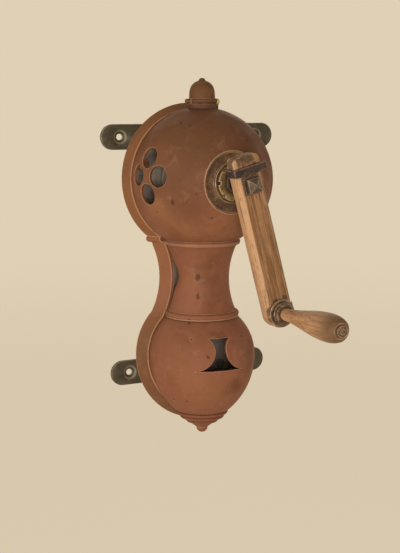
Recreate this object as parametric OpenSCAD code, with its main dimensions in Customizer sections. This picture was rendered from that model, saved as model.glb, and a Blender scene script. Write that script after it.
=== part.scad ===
// Wall-mounted coffee mill with a ball-shaped hopper and a ball-shaped receiver.
// Frame: X to the right, Y towards the wall, Z up. The wall is the plane Y = 0, and the origin
// is midway between the two upper wall screws. Lengths are in millimetres, angles in degrees.

/* [Body casting] */
// Outer radius of the upper ball
ball_r = 63; // [58:0.5:68]
// Drop from the upper wall screws to the centre of the upper ball
ball_drop = 37; // [34:0.5:40]
// Drop from the centre of the upper ball to the narrowest place of the waist
waist_drop = 89; // [86:0.5:92]
// Outer radius of the waist at its narrowest
waist_r = 24.3; // [23:0.1:26]
// Radius of the hollow curve of the waist, seen from the side
waist_curve_r = 73; // [68:1:80]
// Radius of the two beads, above and below the waist
bead_r = 33.3; // [32.5:0.1:34]
// How far the beads stand out of the body beside them
bead_proud = 0.5; // [0.3:0.1:0.8]
// Height of each bead
bead_h = 5.6; // [4.6:0.2:6.6]
// Drop of the upper bead below the place where the ball is as wide as the bead
bead_sink = 0.5; // [0:0.1:1.2]
// Drop from the centre of the upper ball to the centre of the lower ball
lower_drop = 159; // [156:0.5:162]
// Outer radius of the lower ball
lower_r = 47.8; // [46:0.2:50]
// Radius of the long curve under the middle of the lower ball
taper_curve_r = 66.5; // [64:0.5:70]
// Drop from the centre of the lower ball to the seat of the bottom plug
seat_drop = 50.5; // [49:0.25:51.5]
// Wall thickness of the castings
wall = 3; // [2.5:0.1:3.5]
// Distance from the vertical axis back to the joint of the two castings
parting_back = 16; // [15:0.25:17]

/* [Back tray] */
// Depth of the tray, from the joint to its back
tray_depth = 9; // [8.5:0.25:11]
// Wall thickness of the tray
tray_wall = 2.5; // [2:0.1:2.8]
// How far the rim stands outside the upper ball's edge, at the joint
tray_lip = 1.1; // [0.5:0.1:2]
// How much wider the tray's back is than its rim round the upper ball
tray_flare_top = 4.9; // [3:0.1:6]
// How much wider the tray's back is than its rim at the waist and round the lower ball
tray_flare_low = 7.9; // [6:0.1:9]
// Half width of the tray's rim at the waist
tray_waist = 22.8; // [22:0.1:25]
// Radius of the tray's hollow side curve at the rim
tray_side_r = 74.7; // [71:0.5:78]
// Half width of the tray's rim across the lower ball
tray_low_r = 46.6; // [45.5:0.1:48]
// Radius of the tray's rim curve under the middle of the lower ball
tray_taper_r = 58; // [56:0.5:60]
// Radius of the bead that runs on over the tray's sides
tray_bead_r = 3.4; // [3:0.1:4]
// How far that bead stands out of the tray's sides
tray_bead_proud = 1.7; // [1:0.1:2.2]

/* [Wall straps] */
// Thickness of both straps
strap_t = 3; // [2.5:0.25:4]
// Width of both straps
strap_w = 22.5; // [20:0.5:25]
// Distance between the two upper wall screws
top_screw_pitch = 136; // [132:1:142]
// Distance between the two lower wall screws
low_screw_pitch = 121; // [116:1:126]
// Distance from a screw hole to the rounded end of its ear
ear_end = 18; // [16:0.5:20]
// Drop from the centre of the lower ball to the lower strap
strap_low_drop = 16; // [12:1:19]
// Radius of the wall screw holes
screw_hole_r = 2.7; // [2.2:0.1:3.2]
// Radius of the countersinks of the wall screw holes
screw_sink_r = 6; // [5:0.25:7]
// Depth of the countersinks
screw_sink_t = 2; // [1:0.25:2.25]
// Distance between the two rivets of a strap
rivet_pitch = 60; // [50:1:70]
// Radius of the rivets
rivet_r = 2.5; // [2:0.1:3]
// Radius of the rivet heads
rivet_head_r = 4.4; // [4:0.1:5]
// Thickness of the rivet heads
rivet_head_t = 1.6; // [1.2:0.1:2]

/* [Casting screws] */
// Radius of the screw posts
post_r = 4.6; // [4.2:0.1:5]
// Radius of the circle of posts in the upper ball
post_ring_r = 55.3; // [54.8:0.1:55.8]
// Angle of the upper posts above the level of the shaft
post_up = 14; // [10:1:18]
// Angle of the next posts below the level of the shaft
post_down = 48; // [44:1:50]
// Distance of the posts in the lower ball from its vertical axis
post_low_x = 37.4; // [36.5:0.1:38]
// Height of the lower posts above the centre of the lower ball
post_low_rise = 11; // [9:0.5:13]
// Length of the posts in the front casting
post_len = 12; // [10:0.5:14]
// Thickness left at the closed end of a post
post_floor = 2; // [1.5:0.25:3]
// Radius of the casting screws
post_screw_r = 2; // [1.5:0.1:2.4]
// Radius of their flush heads
post_head_r = 3.9; // [3.4:0.1:4.2]

/* [Cut-outs] */
// Radius of the four round holes in the side of the upper ball
vent_r = 9.25; // [8.5:0.05:9.3]
// Bearing of the middle of the four holes, left of the front
vent_bearing = 76.5; // [74:0.5:78]
// Rise of the middle of the four holes over the centre of the ball
vent_rise = 4.5; // [3:0.5:6]
// Angle from the middle to the holes on either side
vent_side = 12.5; // [12.2:0.1:13]
// Angle from the middle to the holes above and below
vent_updown = 14.5; // [14:0.1:15.5]
// Bearing of the middle of the waisted window, left of the front
window_bearing = 6; // [4:0.5:8]
// Height of the window's narrow place above the centre of the lower ball
window_rise = 12.5; // [10:0.5:15]
// Half width of the window's narrow place
window_neck = 4.8; // [4.2:0.1:5.5]
// Height of the window above its narrow place
window_up = 9.6; // [8.5:0.1:10.5]
// Height of the window below its narrow place
window_down = 18.6; // [17:0.2:20]
// Radius of the window's side curves above its narrow place
window_up_r = 11.2; // [10.6:0.1:12]
// Radius of the window's side curves below its narrow place
window_down_r = 19; // [18.7:0.1:21]

/* [Filler and lid] */
// Outer radius of the filler neck
neck_r = 12.2; // [11.8:0.1:12.6]
// Radius of the filler hole
filler_r = 8; // [7.5:0.1:8.2]
// Height of the filler neck above the top of the ball
neck_rise = 3; // [2.5:0.25:4]
// Distance from the middle of the neck to the hinge pin
hinge_out = 12; // [11.8:0.1:12.5]
// Height of the hinge pin above the top of the neck
hinge_rise = 1.6; // [1.4:0.1:2]
// Outer radius of the hinge knuckles
knuckle_r = 3.1; // [2.8:0.1:3.4]
// Width of the middle knuckle
knuckle_w = 4.4; // [4:0.2:5]
// Width of each of the lid's knuckles
lid_knuckle_w = 2.2; // [2:0.1:3]
// Radius of the hinge pin
hinge_pin_r = 1.3; // [1:0.1:1.5]
// Radius of the hinge pin's round head
hinge_head_r = 2.9; // [2.6:0.1:3.2]
// Radius of the hinge pin's spread tail
hinge_tail_r = 2; // [1.8:0.1:2.4]
// Thickness of the spread tail
hinge_tail_t = 0.8; // [0.5:0.1:1.2]
// Radius of the lid's flange
lid_flange_r = 13.6; // [13.2:0.1:14]
// Thickness of the lid's flange
lid_flange_t = 4; // [3.4:0.1:4.4]
// How far the thumb lip reaches from the middle of the lid
lip_reach = 16.4; // [15.5:0.1:17.5]
// Radius of the thumb lip
lip_r = 3.8; // [3:0.1:4.4]
// Radius of the lid's dome
dome_r = 11.4; // [10.8:0.1:11.8]
// Height of the dome's straight side above the flange
dome_side = 9.6; // [8.4:0.2:11]
// Radius of the dome's crown, seen from the side
crown_r = 14; // [13:0.25:16]
// Radius of the knob on the dome
lid_knob_r = 2.6; // [2.2:0.1:3]
// Wall thickness of the lid
lid_wall = 2; // [1.6:0.1:2.4]

/* [Bottom plug] */
// Radius of the plug's first, widest ring
plug_r = 23.6; // [23:0.1:24.2]
// Height of the first ring
plug_ring_h = 3.6; // [3:0.1:4]
// Radius of the second ring
plug_mid_r = 20.3; // [19.5:0.1:21]
// Radius of the third ring
plug_low_r = 14.8; // [14:0.1:15.5]
// Height of the second and of the third ring
plug_low_h = 4; // [3.5:0.1:4.5]
// Radius of the plug's end knob
plug_knob_r = 5.2; // [4.6:0.1:5.6]
// Height of the cone between the third ring and the end knob
plug_cone_h = 5.2; // [4.5:0.1:6]
// Width of the step between the third ring and the cone
plug_cone_step = 3; // [2:0.1:4]
// Radius of the plug's spigot
spigot_r = 14; // [13:0.1:14.5]
// Height of the spigot above the seat
spigot_h = 7; // [6:0.25:8]

/* [Crank and grip] */
// Distance from the shaft to the spindle of the grip
crank_r = 113.6; // [106:0.2:120]
// Lean of the crank from straight down, at rest
crank_lean = 15.2; // [0:0.2:90]
// Width of the crank arm
arm_w = 25; // [23:0.5:27]
// Thickness of the crank arm
arm_t = 12; // [10:0.5:14]
// Length of the arm beyond the shaft
arm_top = 25; // [22:0.5:28]
// Corner radius at the arm's top end
arm_corner = 5; // [3:0.5:7]
// Chamfer along the arm's front edges
arm_chamfer = 3; // [2:0.2:3.6]
// Distance from the middle of the ball to the back of the arm
arm_stand = 78; // [74:0.5:80]
// Distance from the shaft up to the middle of the iron band
band_up = 12.5; // [11.5:0.25:14]
// Width of the iron band
band_w = 5; // [4:0.25:6]
// Thickness of the iron band
band_t = 1.6; // [1.2:0.1:2]
// Length of the band's folded end
band_tail = 3; // [2:0.25:4]
// Side of the square plate under the nut
plate_side = 15; // [14:0.25:16]
// Thickness of the square plate
plate_t = 1.6; // [1.2:0.1:2.2]
// Side of the square nut
nut_side = 12; // [11:0.25:13]
// Height of the nut's square sides
nut_side_h = 4.4; // [4:0.1:5]
// Height of the nut's pointed top
nut_peak_h = 3.2; // [2.5:0.1:4]
// Corner radius of the flat on the nut's point
nut_tip_r = 1; // [0.5:0.1:2]
// Radius of the grip's spindle
spindle_r = 3; // [2.6:0.1:3.4]
// Radius of the spindle's riveted ends
spindle_head_r = 4.8; // [4.4:0.1:5.2]
// Thickness of the spindle's riveted ends
spindle_head_t = 1.4; // [1:0.1:1.8]
// Height of the small tip on the outer riveted end
spindle_tip_t = 0.8; // [0.4:0.1:1.2]
// Radius of the washer under the grip
washer_r = 12; // [11.5:0.1:12.4]
// Thickness of the washer under the grip
washer_t = 1.6; // [1.2:0.1:2]
// Radius of the grip's ferrule
ferrule_r = 9.8; // [9.2:0.1:10.4]
// Length of the ferrule
ferrule_l = 5; // [4:0.25:6]
// Thickness of the ferrule's floor, under the wood
ferrule_floor = 1; // [0.8:0.1:1.4]
// Length of the wooden grip
grip_l = 88; // [82:0.5:94]
// Radius of the grip where it leaves the ferrule
grip_neck_r = 5.3; // [5:0.1:6]
// Greatest radius of the grip
grip_belly_r = 11.8; // [11:0.1:12.6]
// Radius of the grip's outer end
grip_end_r = 6.4; // [6:0.1:7.5]

/* [Shaft and front bearing] */
// Radius of the crank shaft
shaft_r = 5; // [4.6:0.1:5.2]
// Side of the shaft's square under the arm
shaft_square = 7.8; // [7:0.1:8.4]
// Radius of the shaft's threaded end
shaft_end_r = 3.4; // [3:0.1:3.6]
// Radius of the collar behind the arm
shaft_collar_r = 9; // [8:0.25:10]
// Thickness of the collar behind the arm
shaft_collar_t = 3; // [2.5:0.25:4]
// Thickness of the thrust collar behind the bush
thrust_collar_t = 4; // [3.4:0.1:4.6]
// End play between the bush and the thrust collar
thrust_play = 0.1; // [0.05:0.05:0.2]
// How far the shaft reaches past the plate at the joint
shaft_tail = 2; // [1.6:0.1:2.6]
// Outer radius of the bearing flange
flange_r = 27; // [26:0.25:28]
// Thickness of the bearing flange's dish
flange_t = 2; // [1.8:0.1:2.4]
// Height of the flange's rim above the dish
flange_rim_h = 1.5; // [1:0.1:2]
// How far the threaded boss reaches into the ball behind the seat
flange_skirt = 4; // [3.2:0.1:4.6]
// Outer radius of the flange's threaded boss
flange_boss_r = 17.6; // [17:0.1:18.5]
// Height of the threaded boss above the dish
flange_boss_h = 2.5; // [2:0.1:3]
// Radius of the adjusting nut's barrel
barrel_r = 13.5; // [12.5:0.1:14]
// Length of the adjusting nut's barrel
barrel_l = 8.6; // [8:0.1:9]
// Radius of the adjusting nut's notched head
nut_head_r = 15.8; // [15:0.1:16.5]
// Thickness of the adjusting nut's head
nut_head_t = 3; // [2.5:0.1:3.5]
// Number of notches round the adjusting nut
nut_notches = 8; // [6:1:10]
// Width of the notches
notch_w = 2.8; // [2.2:0.1:3.4]
// Depth of the notches
notch_depth = 1.8; // [1.2:0.1:2.2]
// Width of the recess in the nut's face, round the bush
nut_recess_w = 3; // [2.4:0.1:3.4]
// Depth of the recess
nut_recess_t = 1; // [0.6:0.1:1.4]
// Thickness of the bush's flange behind the nut
bush_flange_t = 2; // [1.6:0.1:2.4]
// How far the bush stands out of the nut
bush_proud = 1.2; // [0.8:0.1:1.6]
// Outer radius of the sliding front bush
bush_r = 8.8; // [8.2:0.1:9.2]
// How far the adjusting nut moves the shaft each way
adjust_travel = 0.4; // [0.2:0.05:0.5]

/* [Grinding set] */
// Radius of the grinding cone at its wide end
burr_r = 15.5; // [15:0.1:16]
// Radius of the cone where the fine teeth begin
burr_mid_r = 13.2; // [12.8:0.1:13.6]
// Radius of the cone at its narrow end
burr_small_r = 9; // [8.6:0.1:9.6]
// Length of the fine teeth
burr_fine_l = 9; // [8:0.25:10]
// Length of the coarse flights
burr_coarse_l = 24; // [22:0.5:24.5]
// Gap between the cone's fine teeth and the ring
burr_gap = 0.6; // [0.5:0.05:0.9]
// Number of fine teeth on the cone
cone_teeth = 24; // [16:1:28]
// Number of fine teeth in the ring
ring_teeth = 26; // [18:1:30]
// Depth of the fine teeth
tooth_depth = 1.1; // [0.8:0.05:1.3]
// Number of coarse flights
flights = 4; // [3:1:5]
// Depth of the grooves between the coarse flights
flight_depth = 2.6; // [2:0.1:3]
// Skew of the teeth and flights from straight
tooth_skew = 20; // [12:1:26]
// Outer radius of the grinding ring
ring_r = 20.5; // [20:0.1:21]
// How far the ring reaches over the coarse flights
ring_lead = 7; // [5:0.25:8]
// Width of the ring's rim where the beans go in
ring_entry_w = 2; // [1.5:0.1:2.5]
// Length of the ring's plain rim past the fine teeth
ring_rim = 1; // [0.6:0.1:1.4]
// Depth of the ring screws' holes in the ring
ring_screw_bite = 2.6; // [2:0.1:3]
// Length of the outlet chamber in front of the ring
outlet_l = 17; // [15:0.25:18]
// How much wider the outlet chamber is than the cone
outlet_room = 2; // [1.5:0.1:2.4]
// Wall thickness of the grinding housing
housing_wall = 3; // [2.6:0.1:3.4]
// Radius of the housing's flange
housing_flange_r = 32; // [31:0.25:33]
// Radius of the housing screws
housing_screw_r = 2; // [1.6:0.1:2.2]
// Radius of the throat, where the beans fall in
throat_r = 8.4; // [8:0.1:8.8]
// Height of the throat's top above the housing
throat_rise = 3; // [2.5:0.1:3.5]
// Wall thickness of the throat round the hopper's spout
throat_wall = 2; // [1.6:0.1:2.4]
// Thickness of the hopper's sheet iron
sheet_t = 1; // [0.8:0.1:1.2]
// Slope of the hopper's floor
hopper_slope = 25; // [22:1:28]
// Thickness of the plate at the joint
plate_back_t = 2.5; // [2:0.1:2.8]
// Drop from the shaft to the lower edge of the plate
plate_low = 46; // [44.5:0.25:48]
// Outer radius of the rear bearing
rear_bush_r = 8; // [7.5:0.1:8.5]

/* [Hidden] */
$fn = 96;

// Clearances
running = 0.05;   // round a shaft or spindle that turns
sliding = 0.3;    // between pieces that pass or lift apart
seated = 0.05;    // round a piece that is fitted and stays put
over = 1;         // how far a cut runs past what it cuts

// Drop from the upper strap to the lower strap
strap_drop = ball_drop + lower_drop + strap_low_drop;

// Places along Y of the vertical axis, the joint and the tray's back
axis_y = -(strap_t + tray_depth + parting_back);
joint_y = -(strap_t + tray_depth);
back_y = -strap_t;

// Heights
ball_z = -ball_drop;
top_z = ball_z + ball_r;
waist_z = ball_z - waist_drop;
lower_z = ball_z - lower_drop;
seat_z = lower_z - seat_drop;
bead_top_z = ball_z - sqrt(pow(ball_r, 2) - pow(bead_r, 2)) - bead_sink;
bead_low_z = lower_z + sqrt(pow(lower_r, 2) - pow(bead_r, 2)) + bead_h * 3 / 4;
neck_z = top_z + neck_rise;
hinge_z = neck_z + hinge_rise;

// Depths along the shaft, counted from the vertical axis towards the wall
seat_d = -sqrt(pow(ball_r, 2) - pow(flange_r, 2)) + flange_t + flange_rim_h / 2;
dish_d = seat_d - flange_t;
boss_d = dish_d - flange_boss_h;
nut_back_d = boss_d - adjust_travel - sliding;
nut_front_d = nut_back_d - nut_head_t;
barrel_d = nut_back_d + barrel_l;
bush_front_d = nut_front_d - bush_proud;
bush_back_d = barrel_d + bush_flange_t + running;
arm_back_d = -arm_stand;
arm_front_d = arm_back_d - arm_t;
joint_d = parting_back;
cone_narrow_d = 11;
cone_mid_d = cone_narrow_d - burr_coarse_l;
cone_wide_d = cone_mid_d - burr_fine_l;
ring_back_d = cone_mid_d + ring_lead;
ring_front_d = cone_wide_d - ring_rim;
housing_front_d = ring_front_d - outlet_l;
housing_r = ring_r + seated + housing_wall;
outlet_r = burr_r + outlet_room;
throat_top = housing_r + throat_rise;

// ---------- shared frames and forms ----------

// Frame of the ball's vertical axis
module on_axis(z) translate([0, axis_y, z]) children();

// Frame of the shaft: its Z runs towards the wall from the vertical axis, its Y runs down
module on_shaft() on_axis(ball_z) rotate([-90, 0, 0]) children();

// Frame of the crank: its Y runs along the arm to the grip
module on_crank() on_shaft() rotate([0, 0, -crank_lean]) children();

// Frame of the grip's spindle
module on_grip() on_crank() translate([0, crank_r, 0]) children();

// A cylinder between two places on the Z axis
module rod(r, from, to) translate([0, 0, min(from, to)]) cylinder(r = r, h = abs(to - from));

// A cone between two places on the Z axis
module taper(r_from, r_to, from, to) translate([0, 0, from]) cylinder(r1 = r_from, r2 = r_to, h = to - from);

// A washer-like ring between two places on the Z axis
module ring(r, bore, from, to) difference() {
    rod(r, from, to);
    rod(bore, min(from, to) - over, max(from, to) + over);
}

// A disc whose edge is rounded, in section
module round_edge(r, low, high) {
    edge = (high - low) / 2;
    translate([0, low]) square([r - edge, high - low]);
    translate([r - edge, low + edge]) circle(edge);
}

// A bead round the body, in section: flat above and below, with a rounded nose in short steps
bead_steps = 6;
module bead_section(z) {
    nose = bead_h / 2;
    translate([0, z]) polygon([
        [0, -nose], for (i = [0:bead_steps]) let (turn = 180 * i / bead_steps - 90)
            [bead_r - nose + nose * cos(turn), nose * sin(turn)], [0, nose]
    ]);
}

// Half section of the body, moved in by inset; the flat seat at the bottom moves up by inset
module body_section(inset) intersection() {
    translate([0, seat_z + inset]) square([ball_r, top_z - seat_z]);
    union() {
        translate([0, ball_z]) circle(ball_r - inset);
        difference() {
            translate([0, bead_low_z - bead_h / 2])
                square([bead_r - inset - bead_proud, bead_top_z - bead_low_z + bead_h]);
            translate([waist_r + waist_curve_r, waist_z]) circle(waist_curve_r + inset);
        }
        intersection() {
            translate([0, lower_z]) circle(lower_r - inset);
            translate([0, lower_z]) square([lower_r, lower_r]);
        }
        intersection() {
            translate([lower_r - taper_curve_r, lower_z]) circle(taper_curve_r - inset);
            translate([0, lower_z - lower_r * 2]) square([lower_r, lower_r * 2]);
        }
    }
}

// The solid of revolution that both castings are cut from
module body_solid(inset) on_axis(0) rotate_extrude() body_section(inset);

// Everything in front of the joint
module in_front() translate([-ball_r * 2, joint_y - ball_r * 4, seat_z - ball_r])
    cube([ball_r * 4, ball_r * 4, top_z - seat_z + ball_r * 2]);

// Places of the screw posts, as X and Z
upper_posts = [
    for (side = [-1, 1]) [side * post_ring_r * cos(post_up), ball_z + post_ring_r * sin(post_up)],
    for (side = [-1, 1]) [side * post_ring_r * cos(post_down), ball_z - post_ring_r * sin(post_down)]
];
lower_posts = [for (side = [-1, 1]) [side * post_low_x, lower_z + post_low_rise]];

// Puts its children at the given screw posts, with Z towards the wall from the joint
module at_posts(places = concat(upper_posts, lower_posts))
    for (p = places) translate([p[0], joint_y, p[1]]) rotate([-90, 0, 0]) children();

// Aims Z outwards from the centre of the upper ball, at a bearing left of the front and a rise
module aimed(bearing, rise) on_axis(ball_z) rotate([0, 0, -bearing]) rotate([90 - rise, 0, 0]) children();

// ---------- castings ----------

module window_section() difference() {
    translate([-lower_r / 2, -window_down]) square([lower_r, window_up + window_down]);
    for (side = [-1, 1]) {
        intersection() {
            translate([side * (window_neck + window_up_r), 0]) circle(window_up_r);
            translate([-lower_r, 0]) square([lower_r * 2, window_up_r]);
        }
        intersection() {
            translate([side * (window_neck + window_down_r), 0]) circle(window_down_r);
            translate([-lower_r, -window_down_r]) square([lower_r * 2, window_down_r]);
        }
    }
}

module vents() for (v = [[0, vent_updown], [0, -vent_updown], [vent_side, 0], [-vent_side, 0]])
    aimed(vent_bearing + v[0], vent_rise + v[1]) rod(vent_r, ball_r / 2, ball_r + over);

module window() on_axis(lower_z + window_rise) rotate([0, 0, -window_bearing])
    rotate([90, 0, 0]) linear_extrude(lower_r + over) window_section();

module hinge_axis() translate([hinge_out, axis_y, hinge_z]) rotate([-90, 0, 0]) children();

// Half the length of the hinge, over the outer knuckles
hinge_half = knuckle_w / 2 + lid_knuckle_w + sliding;

// The room that the ends of the hinge pin need beside the knuckles
module pin_end_room() for (side = [-1, 1]) hinge_axis()
    rod(hinge_head_r + sliding, side * hinge_half, side * (hinge_half + hinge_head_r));

// The front castings' wall between two heights, with the beads
module front_wall(low, high) intersection() {
    in_front();
    on_axis(0) rotate_extrude() intersection() {
        translate([0, low]) square([ball_r * 2, high - low]);
        difference() {
            union() {
                body_section(0);
                bead_section(bead_top_z);
                bead_section(bead_low_z);
            }
            body_section(wall);
        }
    }
}

// Heights of the seams between the front castings, in the creases beside the beads
hopper_foot_z = bead_top_z + bead_sink;
receiver_top_z = bead_low_z - bead_h / 2;

module hopper_shell() color("#8E5A45") difference() {
    union() {
        front_wall(hopper_foot_z, top_z + over);
        intersection() {
            body_solid(wall / 2);
            union() {
                at_posts(upper_posts) rod(post_r, -post_len, 0);
                on_shaft() rod(flange_r + wall, seat_d, seat_d + wall);
            }
        }
    }
    on_axis(0) rod(neck_r + seated, ball_z + ball_r / 2, top_z + over);
    on_shaft() {
        rod(flange_r + seated, -ball_r - over, seat_d);
        rod(flange_boss_r + seated, -ball_r - over, -ball_r / 2);
        flange_screw_holes(seat_d + wall + over);
    }
    at_posts(upper_posts) rod(post_screw_r, -post_len + post_floor, over);
    vents();
}

module waist_shell() color("#8A5743") front_wall(receiver_top_z, hopper_foot_z);

module receiver_shell() color("#8E5A45") difference() {
    union() {
        front_wall(seat_z - over, receiver_top_z);
        intersection() {
            body_solid(wall / 2);
            at_posts(lower_posts) rod(post_r, -post_len, 0);
        }
    }
    on_axis(0) rod(spigot_r + sliding, seat_z - over, seat_z + wall + over);
    at_posts(lower_posts) rod(post_screw_r, -post_len + post_floor, over);
    window();
}

// Height of the neck's foot, at the inside of the ball
neck_foot_z = ball_z + sqrt(pow(ball_r - wall, 2) - pow(neck_r, 2));

module filler_neck() color("#86543F") difference() {
    union() {
        on_axis(0) rod(neck_r, neck_foot_z, neck_z);
        hinge_axis() rod(knuckle_r, -knuckle_w / 2, knuckle_w / 2);
        difference() {
            translate([filler_r, axis_y - knuckle_w / 2, top_z - wall])
                cube([hinge_out + knuckle_r - filler_r, knuckle_w, wall + neck_rise]);
            on_axis(ball_z) sphere(ball_r + seated);
        }
    }
    on_axis(0) rod(filler_r, neck_foot_z - over, hinge_z + knuckle_r);
    for (side = [-1, 1]) hinge_axis()
        translate([0, 0, side * (knuckle_w + lid_knuckle_w + sliding) / 2])
            rod(knuckle_r + sliding, -(lid_knuckle_w + sliding * 2.5) / 2, (lid_knuckle_w + sliding * 2.5) / 2);
    hinge_axis() rod(hinge_pin_r + running, -neck_r, neck_r);
    pin_end_room();
}

// The tray's flared form between two places along Y; inset moves all its sides in
function flare_at(y, from, to) = from + (to - from) * (y - joint_y) / tray_depth;
tray_top_r = sqrt(pow(ball_r, 2) - pow(parting_back, 2)) + tray_lip;
side_x = tray_waist + tray_side_r;

module flared(r, grow, inset, low, high) translate([0, low, 0]) rotate([-90, 0, 0])
    cylinder(r1 = flare_at(low, r, r + grow) - inset, r2 = flare_at(high, r, r + grow) - inset, h = high - low);

module tray_form(inset, low, high) {
    translate([0, 0, ball_z]) flared(tray_top_r, tray_flare_top, inset, low, high);
    difference() {
        translate([-bead_r * 1.25, low, lower_z]) cube([bead_r * 2.5, high - low, lower_drop]);
        for (side = [-1, 1]) translate([side * side_x, 0, waist_z])
            flared(tray_side_r, -tray_flare_low, -inset, low, high);
    }
    intersection() {
        translate([0, 0, lower_z]) flared(tray_low_r, tray_flare_low, inset, low, high);
        translate([-ball_r, low, lower_z]) cube([ball_r * 2, high - low, ball_r]);
    }
    intersection() {
        intersection_for (side = [-1, 1]) translate([side * (tray_low_r - tray_taper_r), 0, lower_z])
            flared(tray_taper_r, tray_flare_low, inset, low, high);
        translate([-ball_r, low, lower_z - ball_r * 2]) cube([ball_r * 2, high - low, ball_r * 2]);
    }
}

// The tray's form at its own depth
module tray_outer() tray_form(0, joint_y, back_y);

// Half width of the tray at height z, where its hollow side curve has radius r
function tray_half(z, r) = side_x - sqrt(pow(r, 2) - pow(z - waist_z, 2));

// The upper bead where it runs on over the tray's flared sides
module tray_beads() {
    rim_x = tray_half(bead_top_z, tray_side_r);
    back_x = tray_half(bead_top_z, tray_side_r - tray_flare_low);
    flare_angle = atan((back_x - rim_x) / tray_depth);
    intersection() {
        translate([-ball_r, joint_y, lower_z]) cube([ball_r * 2, tray_depth, lower_drop]);
        for (side = [-1, 1]) translate([side * (rim_x + tray_bead_proud - tray_bead_r), joint_y, bead_top_z])
            rotate([-90, 0, -side * flare_angle]) rod(tray_bead_r, -tray_depth, tray_depth * 3);
    }
}

module back_tray() color("#80503D") difference() {
    union() {
        difference() {
            union() {
                tray_outer();
                tray_beads();
            }
            tray_form(tray_wall, joint_y - over, back_y - tray_wall);
        }
        intersection() {
            tray_outer();
            union() {
                at_posts() rod(post_r, plate_back_t, tray_depth);
                on_axis(0) rod(plug_r + sliding + tray_wall, seat_z - ball_r, seat_z + sliding + tray_wall);
            }
        }
    }
    on_axis(0) rod(plug_r + sliding * 2, seat_z - ball_r, seat_z + sliding);
    at_posts() {
        rod(post_screw_r + seated, -over, tray_depth + over);
        screw_head(post_head_r + seated, post_screw_r + seated, tray_depth);
    }
    for (z = [0, -strap_drop]) at_rivets(z) rod(rivet_r, -over - tray_wall, over);
}

// The cone and mouth of a flush screw head whose face is at z
module screw_head(head_r, stem_r, z) taper(stem_r, head_r, z - (head_r - stem_r), z);

// ---------- straps ----------

// Puts its children at the two rivets of the strap at height z, with Z towards the wall
module at_rivets(z) for (side = [-1, 1])
    translate([side * rivet_pitch / 2, back_y, z]) rotate([-90, 0, 0]) children();

module wall_strap(pitch, z) difference() {
    translate([0, 0, z]) rotate([90, 0, 0]) linear_extrude(strap_t) {
        reach = pitch / 2 + ear_end - strap_w / 2;
        square([reach * 2, strap_w], center = true);
        for (side = [-1, 1]) translate([side * reach, 0]) circle(strap_w / 2);
    }
    for (side = [-1, 1]) translate([side * pitch / 2, back_y, z]) rotate([-90, 0, 0]) {
        rod(screw_hole_r, -over, strap_t + over);
        taper(screw_sink_r, screw_hole_r, 0, screw_sink_t);
    }
    at_rivets(z) {
        rod(rivet_r, -over, strap_t + over);
        taper(rivet_r, rivet_r + rivet_sink_t, strap_t - rivet_sink_t, strap_t);
    }
}
rivet_sink_t = 1;

module upper_wall_strap() color("#454034") wall_strap(top_screw_pitch, 0);

module lower_wall_strap() color("#3F3A30") wall_strap(low_screw_pitch, -strap_drop);

module strap_rivets() color("#4A4438") for (z = [0, -strap_drop]) at_rivets(z) {
    rod(rivet_r, -tray_wall, strap_t);
    taper(rivet_r, rivet_r + rivet_sink_t, strap_t - rivet_sink_t, strap_t);
    rod(rivet_head_r, -tray_wall - rivet_head_t, -tray_wall);
}

module casting_screws() color("#5A5148") at_posts() {
    rod(post_screw_r, -post_len + post_floor + sliding, tray_depth);
    screw_head(post_head_r, post_screw_r, tray_depth);
}

// ---------- filler lid ----------

lid_z = neck_z + sliding;

module lid_section() {
    round_edge(lid_flange_r, lid_z, lid_z + lid_flange_t);
    intersection() {
        union() {
            square([dome_r, lid_z + lid_flange_t + dome_side]);
            translate([0, lid_z + lid_flange_t + dome_side - sqrt(pow(crown_r, 2) - pow(dome_r, 2))])
                circle(crown_r);
        }
        translate([0, lid_z]) square([dome_r, dome_side + lid_flange_t + crown_r]);
    }
}
crown_top = lid_z + lid_flange_t + dome_side - sqrt(pow(crown_r, 2) - pow(dome_r, 2)) + crown_r;

module filler_lid() color("#7E4E38") difference() {
    union() {
        on_axis(0) rotate_extrude() lid_section();
        on_axis(crown_top) sphere(lid_knob_r);
        translate([lip_r - lip_reach, axis_y, lid_z]) cylinder(r = lip_r, h = lid_flange_t);
        for (side = [-1, 1]) hinge_axis() translate([0, 0, side * (knuckle_w + lid_knuckle_w + sliding) / 2])
            rod(knuckle_r, -lid_knuckle_w / 2 + sliding / 2, lid_knuckle_w / 2 - sliding / 2);
    }
    on_axis(0) rod(dome_r - lid_wall, lid_z - over, lid_z + lid_flange_t + dome_side - lid_wall);
    hinge_axis() {
        rod(knuckle_r + sliding, -knuckle_w / 2 - sliding, knuckle_w / 2 + sliding);
        rod(hinge_pin_r + seated, -neck_r, neck_r);
    }
    pin_end_room();
    translate([hinge_out, axis_y - knuckle_w / 2 - sliding, hinge_z - knuckle_r * 2])
        cube([knuckle_r * 2, knuckle_w + sliding * 2, knuckle_r * 4]);
    translate([hinge_out - knuckle_r - sliding, axis_y - knuckle_w / 2 - sliding, lid_z - over])
        cube([knuckle_r * 3, knuckle_w + sliding * 2, hinge_z - lid_z + over]);
}

module lid_hinge_pin() color("#9A8A4A") hinge_axis() {
    rod(hinge_pin_r, -hinge_half, hinge_half);
    intersection() {
        translate([0, 0, -hinge_half + hinge_head_r / 2]) sphere(hinge_head_r);
        rod(hinge_head_r, -hinge_half - hinge_head_r, -hinge_half);
    }
    rod(hinge_tail_r, hinge_half, hinge_half + hinge_tail_t);
}

// ---------- bottom plug ----------

plug_top_z = seat_z - sliding;
plug_mid_z = plug_top_z - plug_ring_h;
plug_low_z = plug_mid_z - plug_low_h;
plug_cone_z = plug_low_z - plug_low_h;
plug_knob_z = plug_cone_z - plug_cone_h;

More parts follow.
